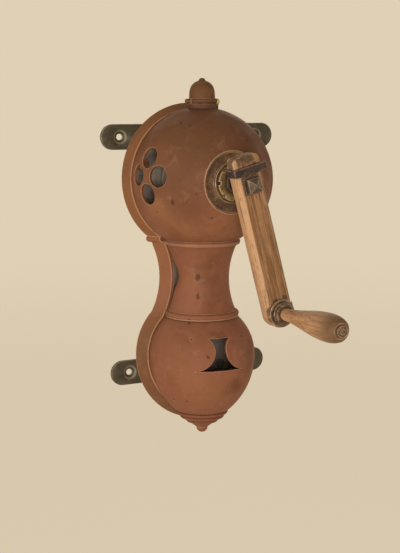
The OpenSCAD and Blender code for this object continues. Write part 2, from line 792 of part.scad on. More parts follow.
module plug_section() {
    round_edge(plug_r, plug_mid_z, plug_top_z);
    round_edge(plug_mid_r, plug_low_z, plug_mid_z);
    round_edge(plug_low_r, plug_cone_z, plug_low_z);
    core_r = plug_low_r - plug_cone_step;
    polygon([
        [0, plug_top_z], [core_r, plug_top_z], [core_r, plug_cone_z], [plug_knob_r, plug_knob_z], [0, plug_knob_z]
    ]);
    intersection() {
        translate([0, plug_knob_z]) circle(plug_knob_r);
        translate([0, plug_knob_z - plug_knob_r]) square([plug_knob_r, plug_knob_r * 2]);
    }
}

module bottom_plug() color("#7C5240") difference() {
    on_axis(0) {
        rotate_extrude() plug_section();
        rod(spigot_r, plug_mid_z, seat_z + spigot_h);
    }
    on_axis(0) rod(spigot_r - wall, seat_z, seat_z + spigot_h + over);
}

// ---------- front bearing ----------

// Screws that hold the flange to the casting
flange_screw_ring_r = (flange_r + flange_boss_r) / 2;
flange_screw_r = 1.5;
flange_sink_t = 1;
flange_screw_turn = 45;
module at_flange_screws() for (turn = [0:90:270]) rotate([0, 0, turn + flange_screw_turn])
    translate([flange_screw_ring_r, 0, 0]) children();
module flange_screw_holes(end) at_flange_screws() rod(flange_screw_r, dish_d - over, end);

module bearing_flange() color("#7A6238") on_shaft() difference() {
    union() {
        rod(flange_r, dish_d, seat_d);
        ring(flange_r, flange_r - flange_rim_h, dish_d - flange_rim_h, seat_d);
        rod(flange_boss_r, boss_d, seat_d + flange_skirt);
    }
    rod(barrel_r + running, boss_d - over, seat_d + flange_skirt + over);
    flange_screw_holes(seat_d + over);
    at_flange_screws() flange_screw_head();
}

// The flush head of a flange screw
module flange_screw_head() taper(flange_screw_r + flange_sink_t, flange_screw_r, dish_d, dish_d + flange_sink_t);

module flange_screws() color("#6B5A40") on_shaft() at_flange_screws() {
    flange_screw_head();
    rod(flange_screw_r, dish_d + flange_sink_t, seat_d + wall);
}

module adjusting_nut() color("#6E5836") on_shaft() difference() {
    union() {
        rod(barrel_r, nut_back_d, barrel_d);
        rod(nut_head_r, nut_front_d, nut_back_d);
    }
    rod(bush_r + running, nut_front_d - over, barrel_d + over);
    rod(bush_r + nut_recess_w, nut_front_d - over, nut_front_d + nut_recess_t);
    round_shaft(nut_notches) translate([nut_head_r - notch_depth, -notch_w / 2, nut_front_d - over])
        cube([nut_head_r, notch_w, nut_head_t + over]);
}

module front_bush() color("#5E4A38") on_shaft() difference() {
    union() {
        rod(bush_r, bush_front_d, bush_back_d);
        rod(barrel_r - sliding, barrel_d + running, bush_back_d);
    }
    rod(shaft_r + running, bush_front_d - over, bush_back_d + over);
}

// ---------- crank shaft ----------

shaft_back_d = joint_d + plate_back_t + shaft_tail;
shaft_end_d = arm_front_d - plate_t - nut_side_h + sliding;
collar_front_d = bush_back_d + thrust_play;
collar_back_d = collar_front_d + thrust_collar_t;

module crank_shaft() color("#3E342F") on_crank() {
    rod(shaft_r, arm_back_d + shaft_collar_t, shaft_back_d);
    rod(shaft_collar_r, arm_back_d, arm_back_d + shaft_collar_t);
    translate([-shaft_square / 2, -shaft_square / 2, arm_front_d + sliding])
        cube([shaft_square, shaft_square, arm_t]);
    rod(shaft_end_r, shaft_end_d, arm_front_d + over);
}

module thrust_collar() color("#4B433C") on_shaft() ring(shaft_collar_r, shaft_r, collar_front_d, collar_back_d);

// ---------- grinding set ----------

// A V-shaped groove along a cone from radius r_from at z from to radius r_to at z to
module tooth_cut(r_from, r_to, from, to, depth, skew) {
    run = norm([to - from, r_to - r_from]);
    side = depth * sqrt(2);
    translate([(r_from + r_to) / 2, 0, (from + to) / 2])
        rotate([0, atan2(r_to - r_from, to - from), 0]) rotate([skew, 0, 0]) rotate([0, 0, 45])
            cube([side, side, run * 1.6], center = true);
}

// Copies of its children spaced evenly round the shaft
module round_shaft(count, start = 0) for (i = [0:count - 1]) rotate([0, 0, start + 360 * i / count]) children();

cone_pin_r = 1.2;
cone_pin_d = cone_narrow_d - 4;
module cone_pin_rod(r, reach) translate([0, 0, cone_pin_d]) rotate([0, 90, 0]) rod(r, -reach, reach);

module grinding_cone() color("#57524D") on_shaft() difference() {
    union() {
        taper(burr_r, burr_mid_r, cone_wide_d, cone_mid_d);
        taper(burr_mid_r, burr_small_r, cone_mid_d, cone_narrow_d);
    }
    rod(shaft_r, cone_wide_d - over, cone_narrow_d + over);
    round_shaft(cone_teeth) tooth_cut(burr_r, burr_mid_r, cone_wide_d, cone_mid_d, tooth_depth, tooth_skew);
    round_shaft(flights, 90 / flights)
        tooth_cut(burr_mid_r, burr_small_r, cone_mid_d, cone_narrow_d, flight_depth, tooth_skew);
    cone_pin_rod(cone_pin_r, burr_r);
}

module cone_pin() color("#6B655E") on_shaft() difference() {
    cone_pin_rod(cone_pin_r, burr_small_r);
    rod(shaft_r, cone_wide_d, cone_narrow_d);
}

module grinding_ring() color("#4F4A45") on_shaft() difference() {
    rotate_extrude() polygon([
        [ring_r, ring_front_d], [ring_r, ring_back_d], [ring_r - ring_entry_w, ring_back_d],
        [burr_mid_r + burr_gap, cone_mid_d], [burr_r + burr_gap, cone_wide_d], [burr_r + burr_gap, ring_front_d]
    ]);
    round_shaft(ring_teeth) tooth_cut(burr_r + burr_gap, burr_mid_r + burr_gap, cone_wide_d, cone_mid_d,
        tooth_depth, -tooth_skew);
    at_ring_screws() rod(ring_screw_r, ring_r - ring_screw_bite, ring_r + over);
}

ring_screw_r = 1.5;
screw_cap_t = 1.6;
module at_ring_screws() for (turn = [90, 210, 330]) rotate([0, 0, turn])
    translate([0, 0, (ring_front_d + ring_back_d) / 2]) rotate([0, 90, 0]) children();

module ring_screws() color("#6B655E") on_shaft() at_ring_screws() {
    rod(ring_screw_r, ring_r - ring_screw_bite, housing_r);
    rod(ring_screw_r * 2, housing_r, housing_r + screw_cap_t);
}

housing_flange_t = 3;
housing_screw_ring_r = (housing_r + housing_flange_r) / 2;
module at_housing_screws() round_shaft(4, 45) translate([housing_screw_ring_r, 0, 0]) children();

module grinding_housing() color("#4D4742") on_shaft() difference() {
    union() {
        rod(housing_r, housing_front_d, joint_d);
        intersection() {
            rod(housing_flange_r, joint_d - housing_flange_t, joint_d);
            translate([-housing_flange_r, -flange_flat, joint_d - housing_flange_t - over])
                cube([housing_flange_r * 2, flange_flat + housing_flange_r, housing_flange_t + over * 2]);
        }
        rotate([90, 0, 0]) rod(throat_r + sheet_t + throat_wall, 0, stub_top);
    }
    rod(ring_r + seated, ring_front_d, joint_d + over);
    rod(outlet_r, housing_front_d + housing_wall, ring_front_d + over);
    rod(shaft_r + burr_gap, housing_front_d - over, ring_front_d);
    rotate([90, 0, 0]) {
        rod(throat_r, 0, throat_top + over);
        rod(throat_r + sheet_t + seated, throat_top - spout_l, throat_top + over);
    }
    translate([-outlet_r * 0.7, 0, housing_front_d + housing_wall])
        cube([outlet_r * 1.4, housing_r + over, outlet_l - housing_wall - ring_rim]);
    at_ring_screws() rod(ring_screw_r, ring_r - over, housing_r + over);
    at_housing_screws() rod(housing_screw_r, joint_d - housing_flange_t - over, joint_d + over);
}

module housing_screws() color("#6B655E") on_shaft() at_housing_screws() {
    rod(housing_screw_r, joint_d - housing_flange_t, joint_d + plate_back_t);
    rod(housing_screw_r * 1.8, joint_d + plate_back_t, joint_d + plate_back_t + screw_cap_t);
}

// ---------- hopper floor, joint plate and rear bearing ----------

spout_l = 4;
hopper_in_r = ball_r - wall - sliding;
hopper_tan = tan(hopper_slope);
hopper_foot = throat_top - throat_r * hopper_tan;
// Height of the flat on the housing's flange, under the hopper's floor
flange_flat = hopper_foot - sheet_t - sliding + (joint_d - housing_flange_t) * hopper_tan;
stub_top = hopper_foot - sheet_t + (throat_r + sheet_t) * hopper_tan;

// Radius at which a floor that leaves the axis at height foot meets a ball of radius r
function rim_radius(foot, r) = let (k = 1 + pow(hopper_tan, 2))
    (sqrt(pow(foot * hopper_tan, 2) - k * (pow(foot, 2) - pow(r, 2))) - foot * hopper_tan) / k;

module hopper_section() {
    low_rim = rim_radius(hopper_foot - sheet_t, hopper_in_r);
    high_rim = rim_radius(hopper_foot, hopper_in_r);
    polygon([
        [throat_r, throat_top - spout_l], [throat_r + sheet_t, throat_top - spout_l],
        [throat_r + sheet_t, hopper_foot - sheet_t + (throat_r + sheet_t) * hopper_tan],
        [low_rim, hopper_foot - sheet_t + low_rim * hopper_tan],
        [high_rim, hopper_foot + high_rim * hopper_tan], [throat_r, throat_top]
    ]);
}

module hopper_floor() color("#6A625A") intersection() {
    in_front();
    on_axis(ball_z) rotate_extrude() hopper_section();
}

module joint_plate() color("#544D46") difference() {
    intersection() {
        on_shaft() rod(tray_top_r - tray_wall - sliding, joint_d, joint_d + plate_back_t);
        translate([-ball_r, joint_y - over, ball_z - plate_low]) cube([ball_r * 2, plate_back_t * 3, ball_r * 2]);
    }
    on_shaft() {
        rod(rear_bush_r + seated, joint_d - over, joint_d + plate_back_t + over);
        at_housing_screws() rod(housing_screw_r, joint_d - over, joint_d + plate_back_t + over);
    }
    at_posts() rod(post_screw_r + seated, -over, plate_back_t + over);
}

module rear_bearing() color("#7C6A45") on_shaft() difference() {
    union() {
        rod(rear_bush_r, cone_narrow_d + adjust_travel * 2, joint_d + plate_back_t);
        rod(rear_bush_r + wall, joint_d + plate_back_t, joint_d + plate_back_t + shaft_tail - seated);
    }
    rod(shaft_r + running, cone_narrow_d - over, joint_d + plate_back_t * 3);
}

// ---------- crank arm ----------

module arm_outline() {
    half = arm_w / 2;
    translate([-half, arm_corner - arm_top]) square([arm_w, crank_r + arm_top - arm_corner]);
    translate([arm_corner - half, -arm_top]) square([arm_w - arm_corner * 2, arm_corner * 2]);
    for (side = [-1, 1]) translate([side * (half - arm_corner), arm_corner - arm_top]) circle(arm_corner);
    translate([0, crank_r]) circle(half);
}

module crank_arm() color("#A87B4F") on_crank() difference() {
    translate([0, 0, arm_front_d]) linear_extrude(arm_t) arm_outline();
    translate([0, 0, arm_back_d]) cube([shaft_square + seated * 2, shaft_square + seated * 2, arm_t * 3],
        center = true);
    translate([0, crank_r, 0]) rod(spindle_r + seated, arm_front_d - over, arm_back_d + over);
    for (side = [-1, 1]) translate([side * arm_w / 2, (crank_r - band_up - arm_w / 4) / 2, arm_front_d])
        rotate([0, 45, 0])
            cube([arm_chamfer * sqrt(2), crank_r + band_up - arm_w / 4, arm_chamfer * sqrt(2)], center = true);
}

module arm_band() color("#4A3A36") on_crank() translate([0, -band_up, (arm_front_d + arm_back_d) / 2]) {
    outer_w = arm_w + (band_t + seated) * 2;
    outer_t = arm_t + (band_t + seated) * 2;
    difference() {
        cube([outer_w, band_w, outer_t], center = true);
        cube([arm_w + seated * 2, band_w * 2, arm_t + seated * 2], center = true);
    }
    translate([arm_w / 2, -band_w / 2, -outer_t / 2]) cube([band_t + band_tail, band_w, band_t * 1.5]);
}

module square_plate() color("#5A4B42") on_crank() difference() {
    translate([-plate_side / 2, -plate_side / 2, arm_front_d - plate_t]) cube([plate_side, plate_side, plate_t]);
    rod(shaft_end_r + seated, arm_front_d - plate_t - over, arm_front_d + over);
}

module square_nut() color("#6B5748") on_crank() {
    nut_d = arm_front_d - plate_t - nut_side_h;
    difference() {
        translate([-nut_side / 2, -nut_side / 2, nut_d]) cube([nut_side, nut_side, nut_side_h]);
        rod(shaft_end_r + seated, shaft_end_d - seated, arm_front_d);
    }
    translate([0, 0, nut_d]) mirror([0, 0, 1]) rotate([0, 0, 45])
        cylinder(r1 = nut_side / sqrt(2), r2 = nut_tip_r, h = nut_peak_h, $fn = 4);
}

// ---------- grip ----------

washer_front_d = arm_front_d - washer_t;
ferrule_back_d = washer_front_d - sliding;
grip_back_d = ferrule_back_d - ferrule_floor;
grip_front_d = grip_back_d - grip_l;
belly_at = 0.8;
grip_steps = 26;

// Radius of the grip at a share of its length from the ferrule
function grip_radius(t) = t < belly_at
    ? grip_neck_r + (grip_belly_r - grip_neck_r) * pow((1 - cos(180 * t / belly_at)) / 2, 1.1)
    : grip_end_r + (grip_belly_r - grip_end_r) * sqrt(1 - pow((t - belly_at) / (1 - belly_at), 2));

module grip_section() polygon([
    [0, 0],
    for (i = [0:grip_steps]) [grip_radius(i / grip_steps), -grip_l * i / grip_steps],
    [0, -grip_l]
]);

module grip_spindle() color("#6A5238") on_grip() {
    rod(spindle_r, grip_front_d - sliding, arm_back_d);
    rod(spindle_head_r, arm_back_d, arm_back_d + spindle_head_t);
    rod(spindle_head_r, grip_front_d - sliding - spindle_head_t, grip_front_d - sliding);
    rod(spindle_head_r / 2, grip_front_d - sliding - spindle_head_t - spindle_tip_t, grip_front_d);
}

module spindle_washer() color("#6B5A48") on_grip() ring(washer_r, spindle_r + seated, washer_front_d, arm_front_d);

module grip_ferrule() color("#77614A") on_grip() difference() {
    translate([0, 0, ferrule_back_d - ferrule_l]) rotate_extrude() {
        round_edge(ferrule_r - 1, 0, ferrule_l / 2);
        round_edge(ferrule_r, ferrule_l / 2, ferrule_l);
    }
    rod(grip_neck_r + seated, grip_back_d - ferrule_l, grip_back_d + seated);
    rod(spindle_r + running, grip_back_d, ferrule_back_d + over);
}

module grip() color("#A3714A") on_grip() difference() {
    translate([0, 0, grip_back_d]) rotate_extrude() grip_section();
    rod(spindle_r + running, grip_front_d - over, grip_back_d + over);
}

hopper_shell();
waist_shell();
receiver_shell();
filler_neck();
back_tray();
upper_wall_strap();
lower_wall_strap();
strap_rivets();
casting_screws();
filler_lid();
lid_hinge_pin();
bottom_plug();
bearing_flange();
flange_screws();
adjusting_nut();
front_bush();
crank_shaft();
thrust_collar();
grinding_cone();
cone_pin();
grinding_ring();
ring_screws();
grinding_housing();
housing_screws();
hopper_floor();
joint_plate();
rear_bearing();
crank_arm();
arm_band();
square_plate();
square_nut();
grip_spindle();
spindle_washer();
grip_ferrule();
grip();
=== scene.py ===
"""Looks of a wall-hung coffee mill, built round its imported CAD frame."""

import logging
import math
from collections.abc import Callable
from dataclasses import dataclass
from enum import Enum

import bmesh
import bpy
from mathutils import Matrix, Vector, noise


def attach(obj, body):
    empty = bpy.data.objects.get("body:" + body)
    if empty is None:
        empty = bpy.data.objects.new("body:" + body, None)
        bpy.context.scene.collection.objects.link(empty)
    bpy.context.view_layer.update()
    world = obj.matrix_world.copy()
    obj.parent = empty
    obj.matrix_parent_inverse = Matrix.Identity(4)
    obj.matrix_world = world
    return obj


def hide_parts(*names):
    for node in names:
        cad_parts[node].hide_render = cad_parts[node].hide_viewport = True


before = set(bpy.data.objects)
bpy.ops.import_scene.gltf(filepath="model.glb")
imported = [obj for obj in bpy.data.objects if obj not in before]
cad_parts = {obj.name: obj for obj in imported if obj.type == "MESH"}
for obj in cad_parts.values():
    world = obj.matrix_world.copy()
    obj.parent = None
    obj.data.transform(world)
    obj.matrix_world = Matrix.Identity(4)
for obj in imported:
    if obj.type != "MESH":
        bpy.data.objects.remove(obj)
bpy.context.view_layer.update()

log = logging.getLogger("mill")

Socket = bpy.types.NodeSocket
# What a node's input takes
Value = Socket | float | tuple

MM = 0.001
# Height of the render in pixels
IMAGE_H = 553
# Where the balls' upright axis and their middles lie, and how far the arm leans to the right
AXIS_Y = -28 * MM
BALL_Z = -37 * MM
LOWER_Z = -196 * MM
CRANK_LEAN = math.radians(15.2)
# Vertices closer than this are one and the same
WELD = 0.002 * MM
# A cut that passes closer to a vertex than this goes through it
SNAP = 0.001 * MM
# Faces that turn by less than this lie in one plane
FLAT = math.radians(0.6)
# A face of a rounded edge is narrower than this many rounding widths
STRIP = 1.3
# A face whose normal is this near to the wall's, as a cosine, lies flat to it
TO_WALL = 0.999
# Faces that look outward by less than this, as a cosine, are the inside of a shell or of the tray
SHELL_INSIDE = -0.35
TRAY_INSIDE = -0.5
# The inside of the tray's floor looks to the front, and outward by less than this
FLOOR_OUT = 0.1
# Edges that turn by more than this are folds of thin walls, and stay sharp
ACUTE = math.radians(112)
# The screw holes of the two straps: half the spacing and height, in millimetres
STRAP_HOLES = ((68, 0), (60.5, -212))
SINK_R = 5.6 * MM
# Places where the paint is worn through: x, y, z, radius and height over width, in millimetres
CHIPS = ((-14.2, -47.8, -122.3, 2.3, 1.3), (-14.7, -48.7, -139.1, 1.2, 3.0),
         (-24.4, -50.6, -161.7, 1.3, 3.0), (-16.7, -72.2, -189.2, 1.6, 1.0),
         (-35.4, -41.9, -230.7, 1.1, 1.2), (-27.8, -53.1, -231.6, 1.2, 1.2),
         (-47.5, -66.0, -53.3, 2.0, 1.4), (-53.6, -48.3, -63.2, 1.1, 1.0),
         (-17.5, -80.7, -66.8, 1.2, 1.0), (-31.6, -50.2, 12.7, 1.4, 0.6))
# Broad places of painted shade, measured in the same way
PAINTED_SHADE_SPOTS = ((-5, -57, -124, 12.5, 2.1), (33, -68, -192, 17, 1.4), (12, -78, -219, 16, 0.7),
          (-6, -66, -172, 9, 0.5), (45, -70, -20, 22, 1.5))
# Dark marks on the arm: stains at its top end, and painted shadow round the grip's foot, measured in the
# same way
STAINS_AND_SHADE = ((-6.5, -118, -14.5, 6.5, 0.7), (-13.5, -112, -19, 7, 1.0), (3.5, -118, -21, 3.4, 1.0),
          (18.6, -118, -143.5, 3.2, 1.8), (20, -118, -152, 3.2, 1.2), (24, -118, -136, 3.2, 0.9),
          (33, -118, -133.5, 2.8, 0.9), (27, -118, -158, 3.2, 0.6))
# The cosines between a rounded and a flat normal at which an edge's wear begins and is full
BENT = (0.985, 0.9)
# How far the outline of a worn place strays, in radii, for a full step of its pattern
RAG = 2.2
# How a Map Range node makes a soft step
SOFT = {"interpolation_type": "SMOOTHSTEP"}


def srgb(code: str) -> tuple[float, float, float, float]:
    """Turns an sRGB hex colour into linear light.

    Args:
        code: a colour such as "#8B5A42".

    Returns:
        The linear red, green, blue and alpha.
    """
    parts = [int(code[i:i + 2], 16) / 255 for i in (1, 3, 5)]
    linear = [c / 12.92 if c <= 0.04045 else ((c + 0.055) / 1.055) ** 2.4 for c in parts]
    return (linear[0], linear[1], linear[2], 1.0)


def per_metre(size_mm: float) -> float:
    """The scale of a pattern in metres whose features are about that size."""
    return 1000.0 / size_mm


def between(value: Value, low: float, high: float, weak: float = 0, strong: float = 1) -> dict:
    """Inputs of a step whose share goes from weak to strong while the value goes from low to high."""
    return {"Value": value, "From Min": low, "From Max": high, "To Min": weak, "To Max": strong}


def eased(share: float) -> float:
    """A soft step from 0 to 1.

    Args:
        share: how far along it is. It may lie outside 0 to 1.

    Returns:
        The eased share.
    """
    held = min(1.0, max(0.0, share))
    return held * held * (3 - 2 * held)


def half_round(outer: float, middle: float, half: float, faces: int = 10) -> list[tuple[float, float]]:
    """Radius and height of the points of a turned disc's rounded edge, from the top down.

    Args:
        outer: the disc's radius.
        middle: the height of its middle.
        half: half of its thickness.
        faces: how many faces the edge has.

    Returns:
        The points.
    """
    turns = (math.pi * (0.5 - k / faces) for k in range(faces + 1))
    return [(outer - half + half * math.cos(turn), middle + half * math.sin(turn)) for turn in turns]


def shown(name: str, bm: bmesh.types.BMesh, material: bpy.types.Material) -> bpy.types.Object:
    """Turns a mesh that has been shaped into an object of the scene.

    Args:
        name: the object's name.
        bm: the mesh, which is freed.
        material: its material.

    Returns:
        The object.
    """
    mesh = bpy.data.meshes.new(name)
    bm.to_mesh(mesh)
    bm.free()
    obj = bpy.data.objects.new(name, mesh)
    bpy.context.scene.collection.objects.link(obj)
    mesh.materials.append(material)
    return obj


class Graph:
    """The node tree of a material or of the world."""

    def __init__(self, holder: bpy.types.ID) -> None:
        """Empties the holder's tree.

        Args:
            holder: the material or the world.
        """
        holder.use_nodes = True
        self.holder = holder
        self.tree = holder.node_tree
        self.tree.nodes.clear()
        self.place = self.add("TexCoord", out="Object")

    def add(self, kind: str, inputs: dict | None = None, out: str | None = None,
            **settings: object) -> Socket | None:
        """Adds one node with its settings and links.

        Args:
            kind: the node's type name, without ShaderNode.
            inputs: socket name or index to a value or to another node's output.
            out: the output that is wanted, or None for the first one in use.
            settings: the node's own properties.

        Returns:
            The wanted output socket, or None where the node has none.
        """
        node = self.tree.nodes.new("ShaderNode" + kind)
        for key, value in settings.items():
            setattr(node, key, value)
        for key, value in (inputs or {}).items():
            if isinstance(value, bpy.types.NodeSocket):
                self.tree.links.new(value, node.inputs[key])
            else:
                node.inputs[key].default_value = value
        if out:
            return node.outputs[out]
        return next((socket for socket in node.outputs if socket.enabled), None)

    def sized(self, size_mm: float, detail: float = 3, rough: float = 0.55, warp: float = 0,
              place: Socket | None = None) -> dict:
        """Inputs of a noise pattern: the size of one cloud, its finer layers and how far it bends itself."""
        return {"Vector": place or self.place, "Scale": per_metre(size_mm), "Detail": detail,
                "Roughness": rough, "Distortion": warp}

    def clouds(self, size_mm: float, low: float, high: float, weak: float = 0, strong: float = 1,
               detail: float = 3, rough: float = 0.55, warp: float = 0, shift: tuple | None = None,
               place: Socket | None = None) -> Socket:
        """Patches with soft edges: a noise pattern that is cut off between two levels.

        Args:
            size_mm: the size of one patch.
            low: the level at which a patch begins.
            high: the level at which it is full.
            weak: the share outside the patches.
            strong: the share inside them.
            detail: how many finer layers the pattern has.
            rough: how strong the finer layers are.
            warp: how far the pattern bends itself.
            shift: where the pattern is moved to, so that two of them differ.
            place: coordinates, or None for the object's.

        Returns:
            The share's socket.
        """
        if shift:
            place = self.add("Mapping", {"Vector": place or self.place, "Location": shift})
        pattern = self.add("TexNoise", self.sized(size_mm, detail, rough, warp, place))
        return self.add("MapRange", between(pattern, low, high, weak, strong), **SOFT)

    def dots(self, spacing_mm: float, low: float, high: float, wander: Socket | None = None) -> Socket:
        """Scattered round dots.

        Args:
            spacing_mm: the mean distance between them.
            low: the edge of a dot, in spacings.
            high: where a dot is full.
            wander: a socket that is added to the distance and rags the outline, or None.

        Returns:
            The share's socket.
        """
        inputs = {"Vector": self.place, "Scale": per_metre(spacing_mm), "Randomness": 1}
        near = self.add("TexVoronoi", inputs, out="Distance", feature="F1")
        if wander is not None:
            near = self.add("Math", {0: near, 1: wander}, operation="ADD")
        return self.add("MapRange", between(near, low, high), **SOFT)

    def overlap(self, *shares: Value) -> Socket:
        """The product of some shares: where all of them lie together.

        Args:
            shares: sockets or numbers, of which the first is a socket.

        Returns:
            The share's socket.
        """
        result = shares[0]
        for share in shares[1:]:
            result = self.add("Math", {0: result, 1: share}, operation="MULTIPLY")
        return result

    def coat(self, colour: Value, code: str, *shares: Value) -> Socket:
        """Lays a colour over another where all the shares overlap."""
        inputs = {0: self.overlap(*shares), 6: colour, 7: srgb(code)}
        return self.add("Mix", inputs, data_type="RGBA", blend_type="MIX")

    def edge(self, reach_mm: float = 0.9) -> Socket:
        """The worn edges: those that the mesh marks, and what lies close to any sharp edge.

        Args:
            reach_mm: how far the wear reaches from a sharp edge, or 0 for the marks alone.

        Returns:
            The share's socket.
        """
        marked = self.add("Attribute", out="Fac", attribute_name="edge")
        if not reach_mm:
            return marked
        bent = self.add("Bevel", {"Radius": reach_mm * MM}, samples=6)
        flat = self.add("NewGeometry", out="Normal")
        same = self.add("VectorMath", {0: bent, 1: flat}, operation="DOT_PRODUCT")
        sharp = self.add("MapRange", between(same, *BENT), **SOFT)
        return self.add("Math", {0: marked, 1: sharp}, operation="MAXIMUM")

    def crease_shade(self, reach_mm: float, low: float, high: float, strong: float) -> Socket:
        """Painted shade in corners and creases: a full share where they are open by less than low, none
        above high.
        """
        open_to = self.add("AmbientOcclusion", {"Distance": reach_mm * MM}, out="AO", samples=8)
        return self.add("MapRange", between(open_to, low, high, strong, 0), **SOFT)

    def rim(self, centre: tuple, radius: float, low: float, high: float) -> Socket:
        """A thin ring round an axis along Y.

        Args:
            centre: a point on the axis, in metres.
            radius: the ring's radius, in metres.
            low: the distance from the ring at which it begins, in metres.
            high: the distance at which it is full.

        Returns:
            The share's socket.
        """
        offset = self.add("VectorMath", {0: self.place, 1: centre}, operation="SUBTRACT")
        across = self.add("VectorMath", {0: offset, 1: (0, 1, 0)}, operation="CROSS_PRODUCT")
        away = self.add("VectorMath", {0: across}, operation="LENGTH")
        past = self.add("Math", {0: away, 1: radius}, operation="SUBTRACT")
        near = self.add("Math", {0: past}, operation="ABSOLUTE")
        return self.add("MapRange", between(near, low, high), **SOFT)

    def ragged_places(self, places: tuple, rag_mm: float = 2.4, rim: tuple = (1.1, 0.75)) -> Socket:
        """Ragged marks at chosen places.

        Args:
            places: x, y, z, radius and height over width of each, in millimetres.
            rag_mm: how large the rags of their outlines are.
            rim: where a mark begins and where it is full, in radii.

        Returns:
            The share's socket.
        """
        rags = self.add("TexNoise", self.sized(rag_mm, 3, 0.65))
        centred = self.add("Math", {0: rags, 1: 0.5}, operation="SUBTRACT")
        rag = self.add("Math", {0: centred, 1: RAG}, operation="MULTIPLY")
        share = 0.0
        for x, y, z, radius, tall in places:
            centre = (x * MM, y * MM, z * MM)
            offset = self.add("VectorMath", {0: self.place, 1: centre}, operation="SUBTRACT")
            squeezed = self.add("VectorMath", {0: offset, 1: (1, 1, 1 / tall)}, operation="MULTIPLY")
            away = self.add("VectorMath", {0: squeezed}, operation="LENGTH")
            radii = self.add("Math", {0: away, 1: radius * MM}, operation="DIVIDE")
            ragged = self.add("Math", {0: radii, 1: rag}, operation="ADD")
            mark = self.add("MapRange", between(ragged, *rim), **SOFT)
            share = self.add("Math", {0: share, 1: mark}, operation="MAXIMUM")
        return share

    def relief(self, size_mm: float, strength: float, depth_mm: float, under: Socket | None = None,
               detail: float = 3, rough: float = 0.55, place: Socket | None = None) -> Socket:
        """Small bumps of a noise pattern.

        Args:
            size_mm: the size of one bump.
            strength: how strongly they show.
            depth_mm: their height.
            under: the normal that they lie on, or None for the surface's own.
            detail: how many finer layers the pattern has.
            rough: how strong the finer layers are.
            place: coordinates, or None for the object's.

        Returns:
            The normal's socket.
        """
        pattern = self.add("TexNoise", self.sized(size_mm, detail, rough, 0, place))
        inputs = {"Height": pattern, "Strength": strength, "Distance": depth_mm * MM}
        return self.add("Bump", inputs if under is None else inputs | {"Normal": under})

    def seen(self) -> Socket:
        """The rays that see the pale backdrop instead of the light it gives.

        Returns:
            The share's socket: 1 for the camera, for mirrors and for glass.
        """
        share = 0.0
        for ray in ("Is Camera Ray", "Is Glossy Ray", "Is Transmission Ray"):
            share = self.add("Math", {0: share, 1: self.add("LightPath", out=ray)}, operation="MAXIMUM")
        return share

    def close(self, colour: Value, rough: Value, metallic: Value, normal: Socket,
              specular: float | None = None) -> bpy.types.Material:
        """Ends the tree with its shader.

        Args:
            colour: a colour or a socket.
            rough: roughness, a number or a socket.
            metallic: metal share, a number or a socket.
            normal: the normal's socket.
            specular: how much it shines, or None for a metal.

        Returns:
            The finished material.
        """
        inputs = {"Base Color": colour, "Roughness": rough, "Metallic": metallic, "Normal": normal}
        if specular is not None:
            inputs["Specular IOR Level"] = specular
        self.add("OutputMaterial", {"Surface": self.add("BsdfPrincipled", inputs)})
        return self.holder


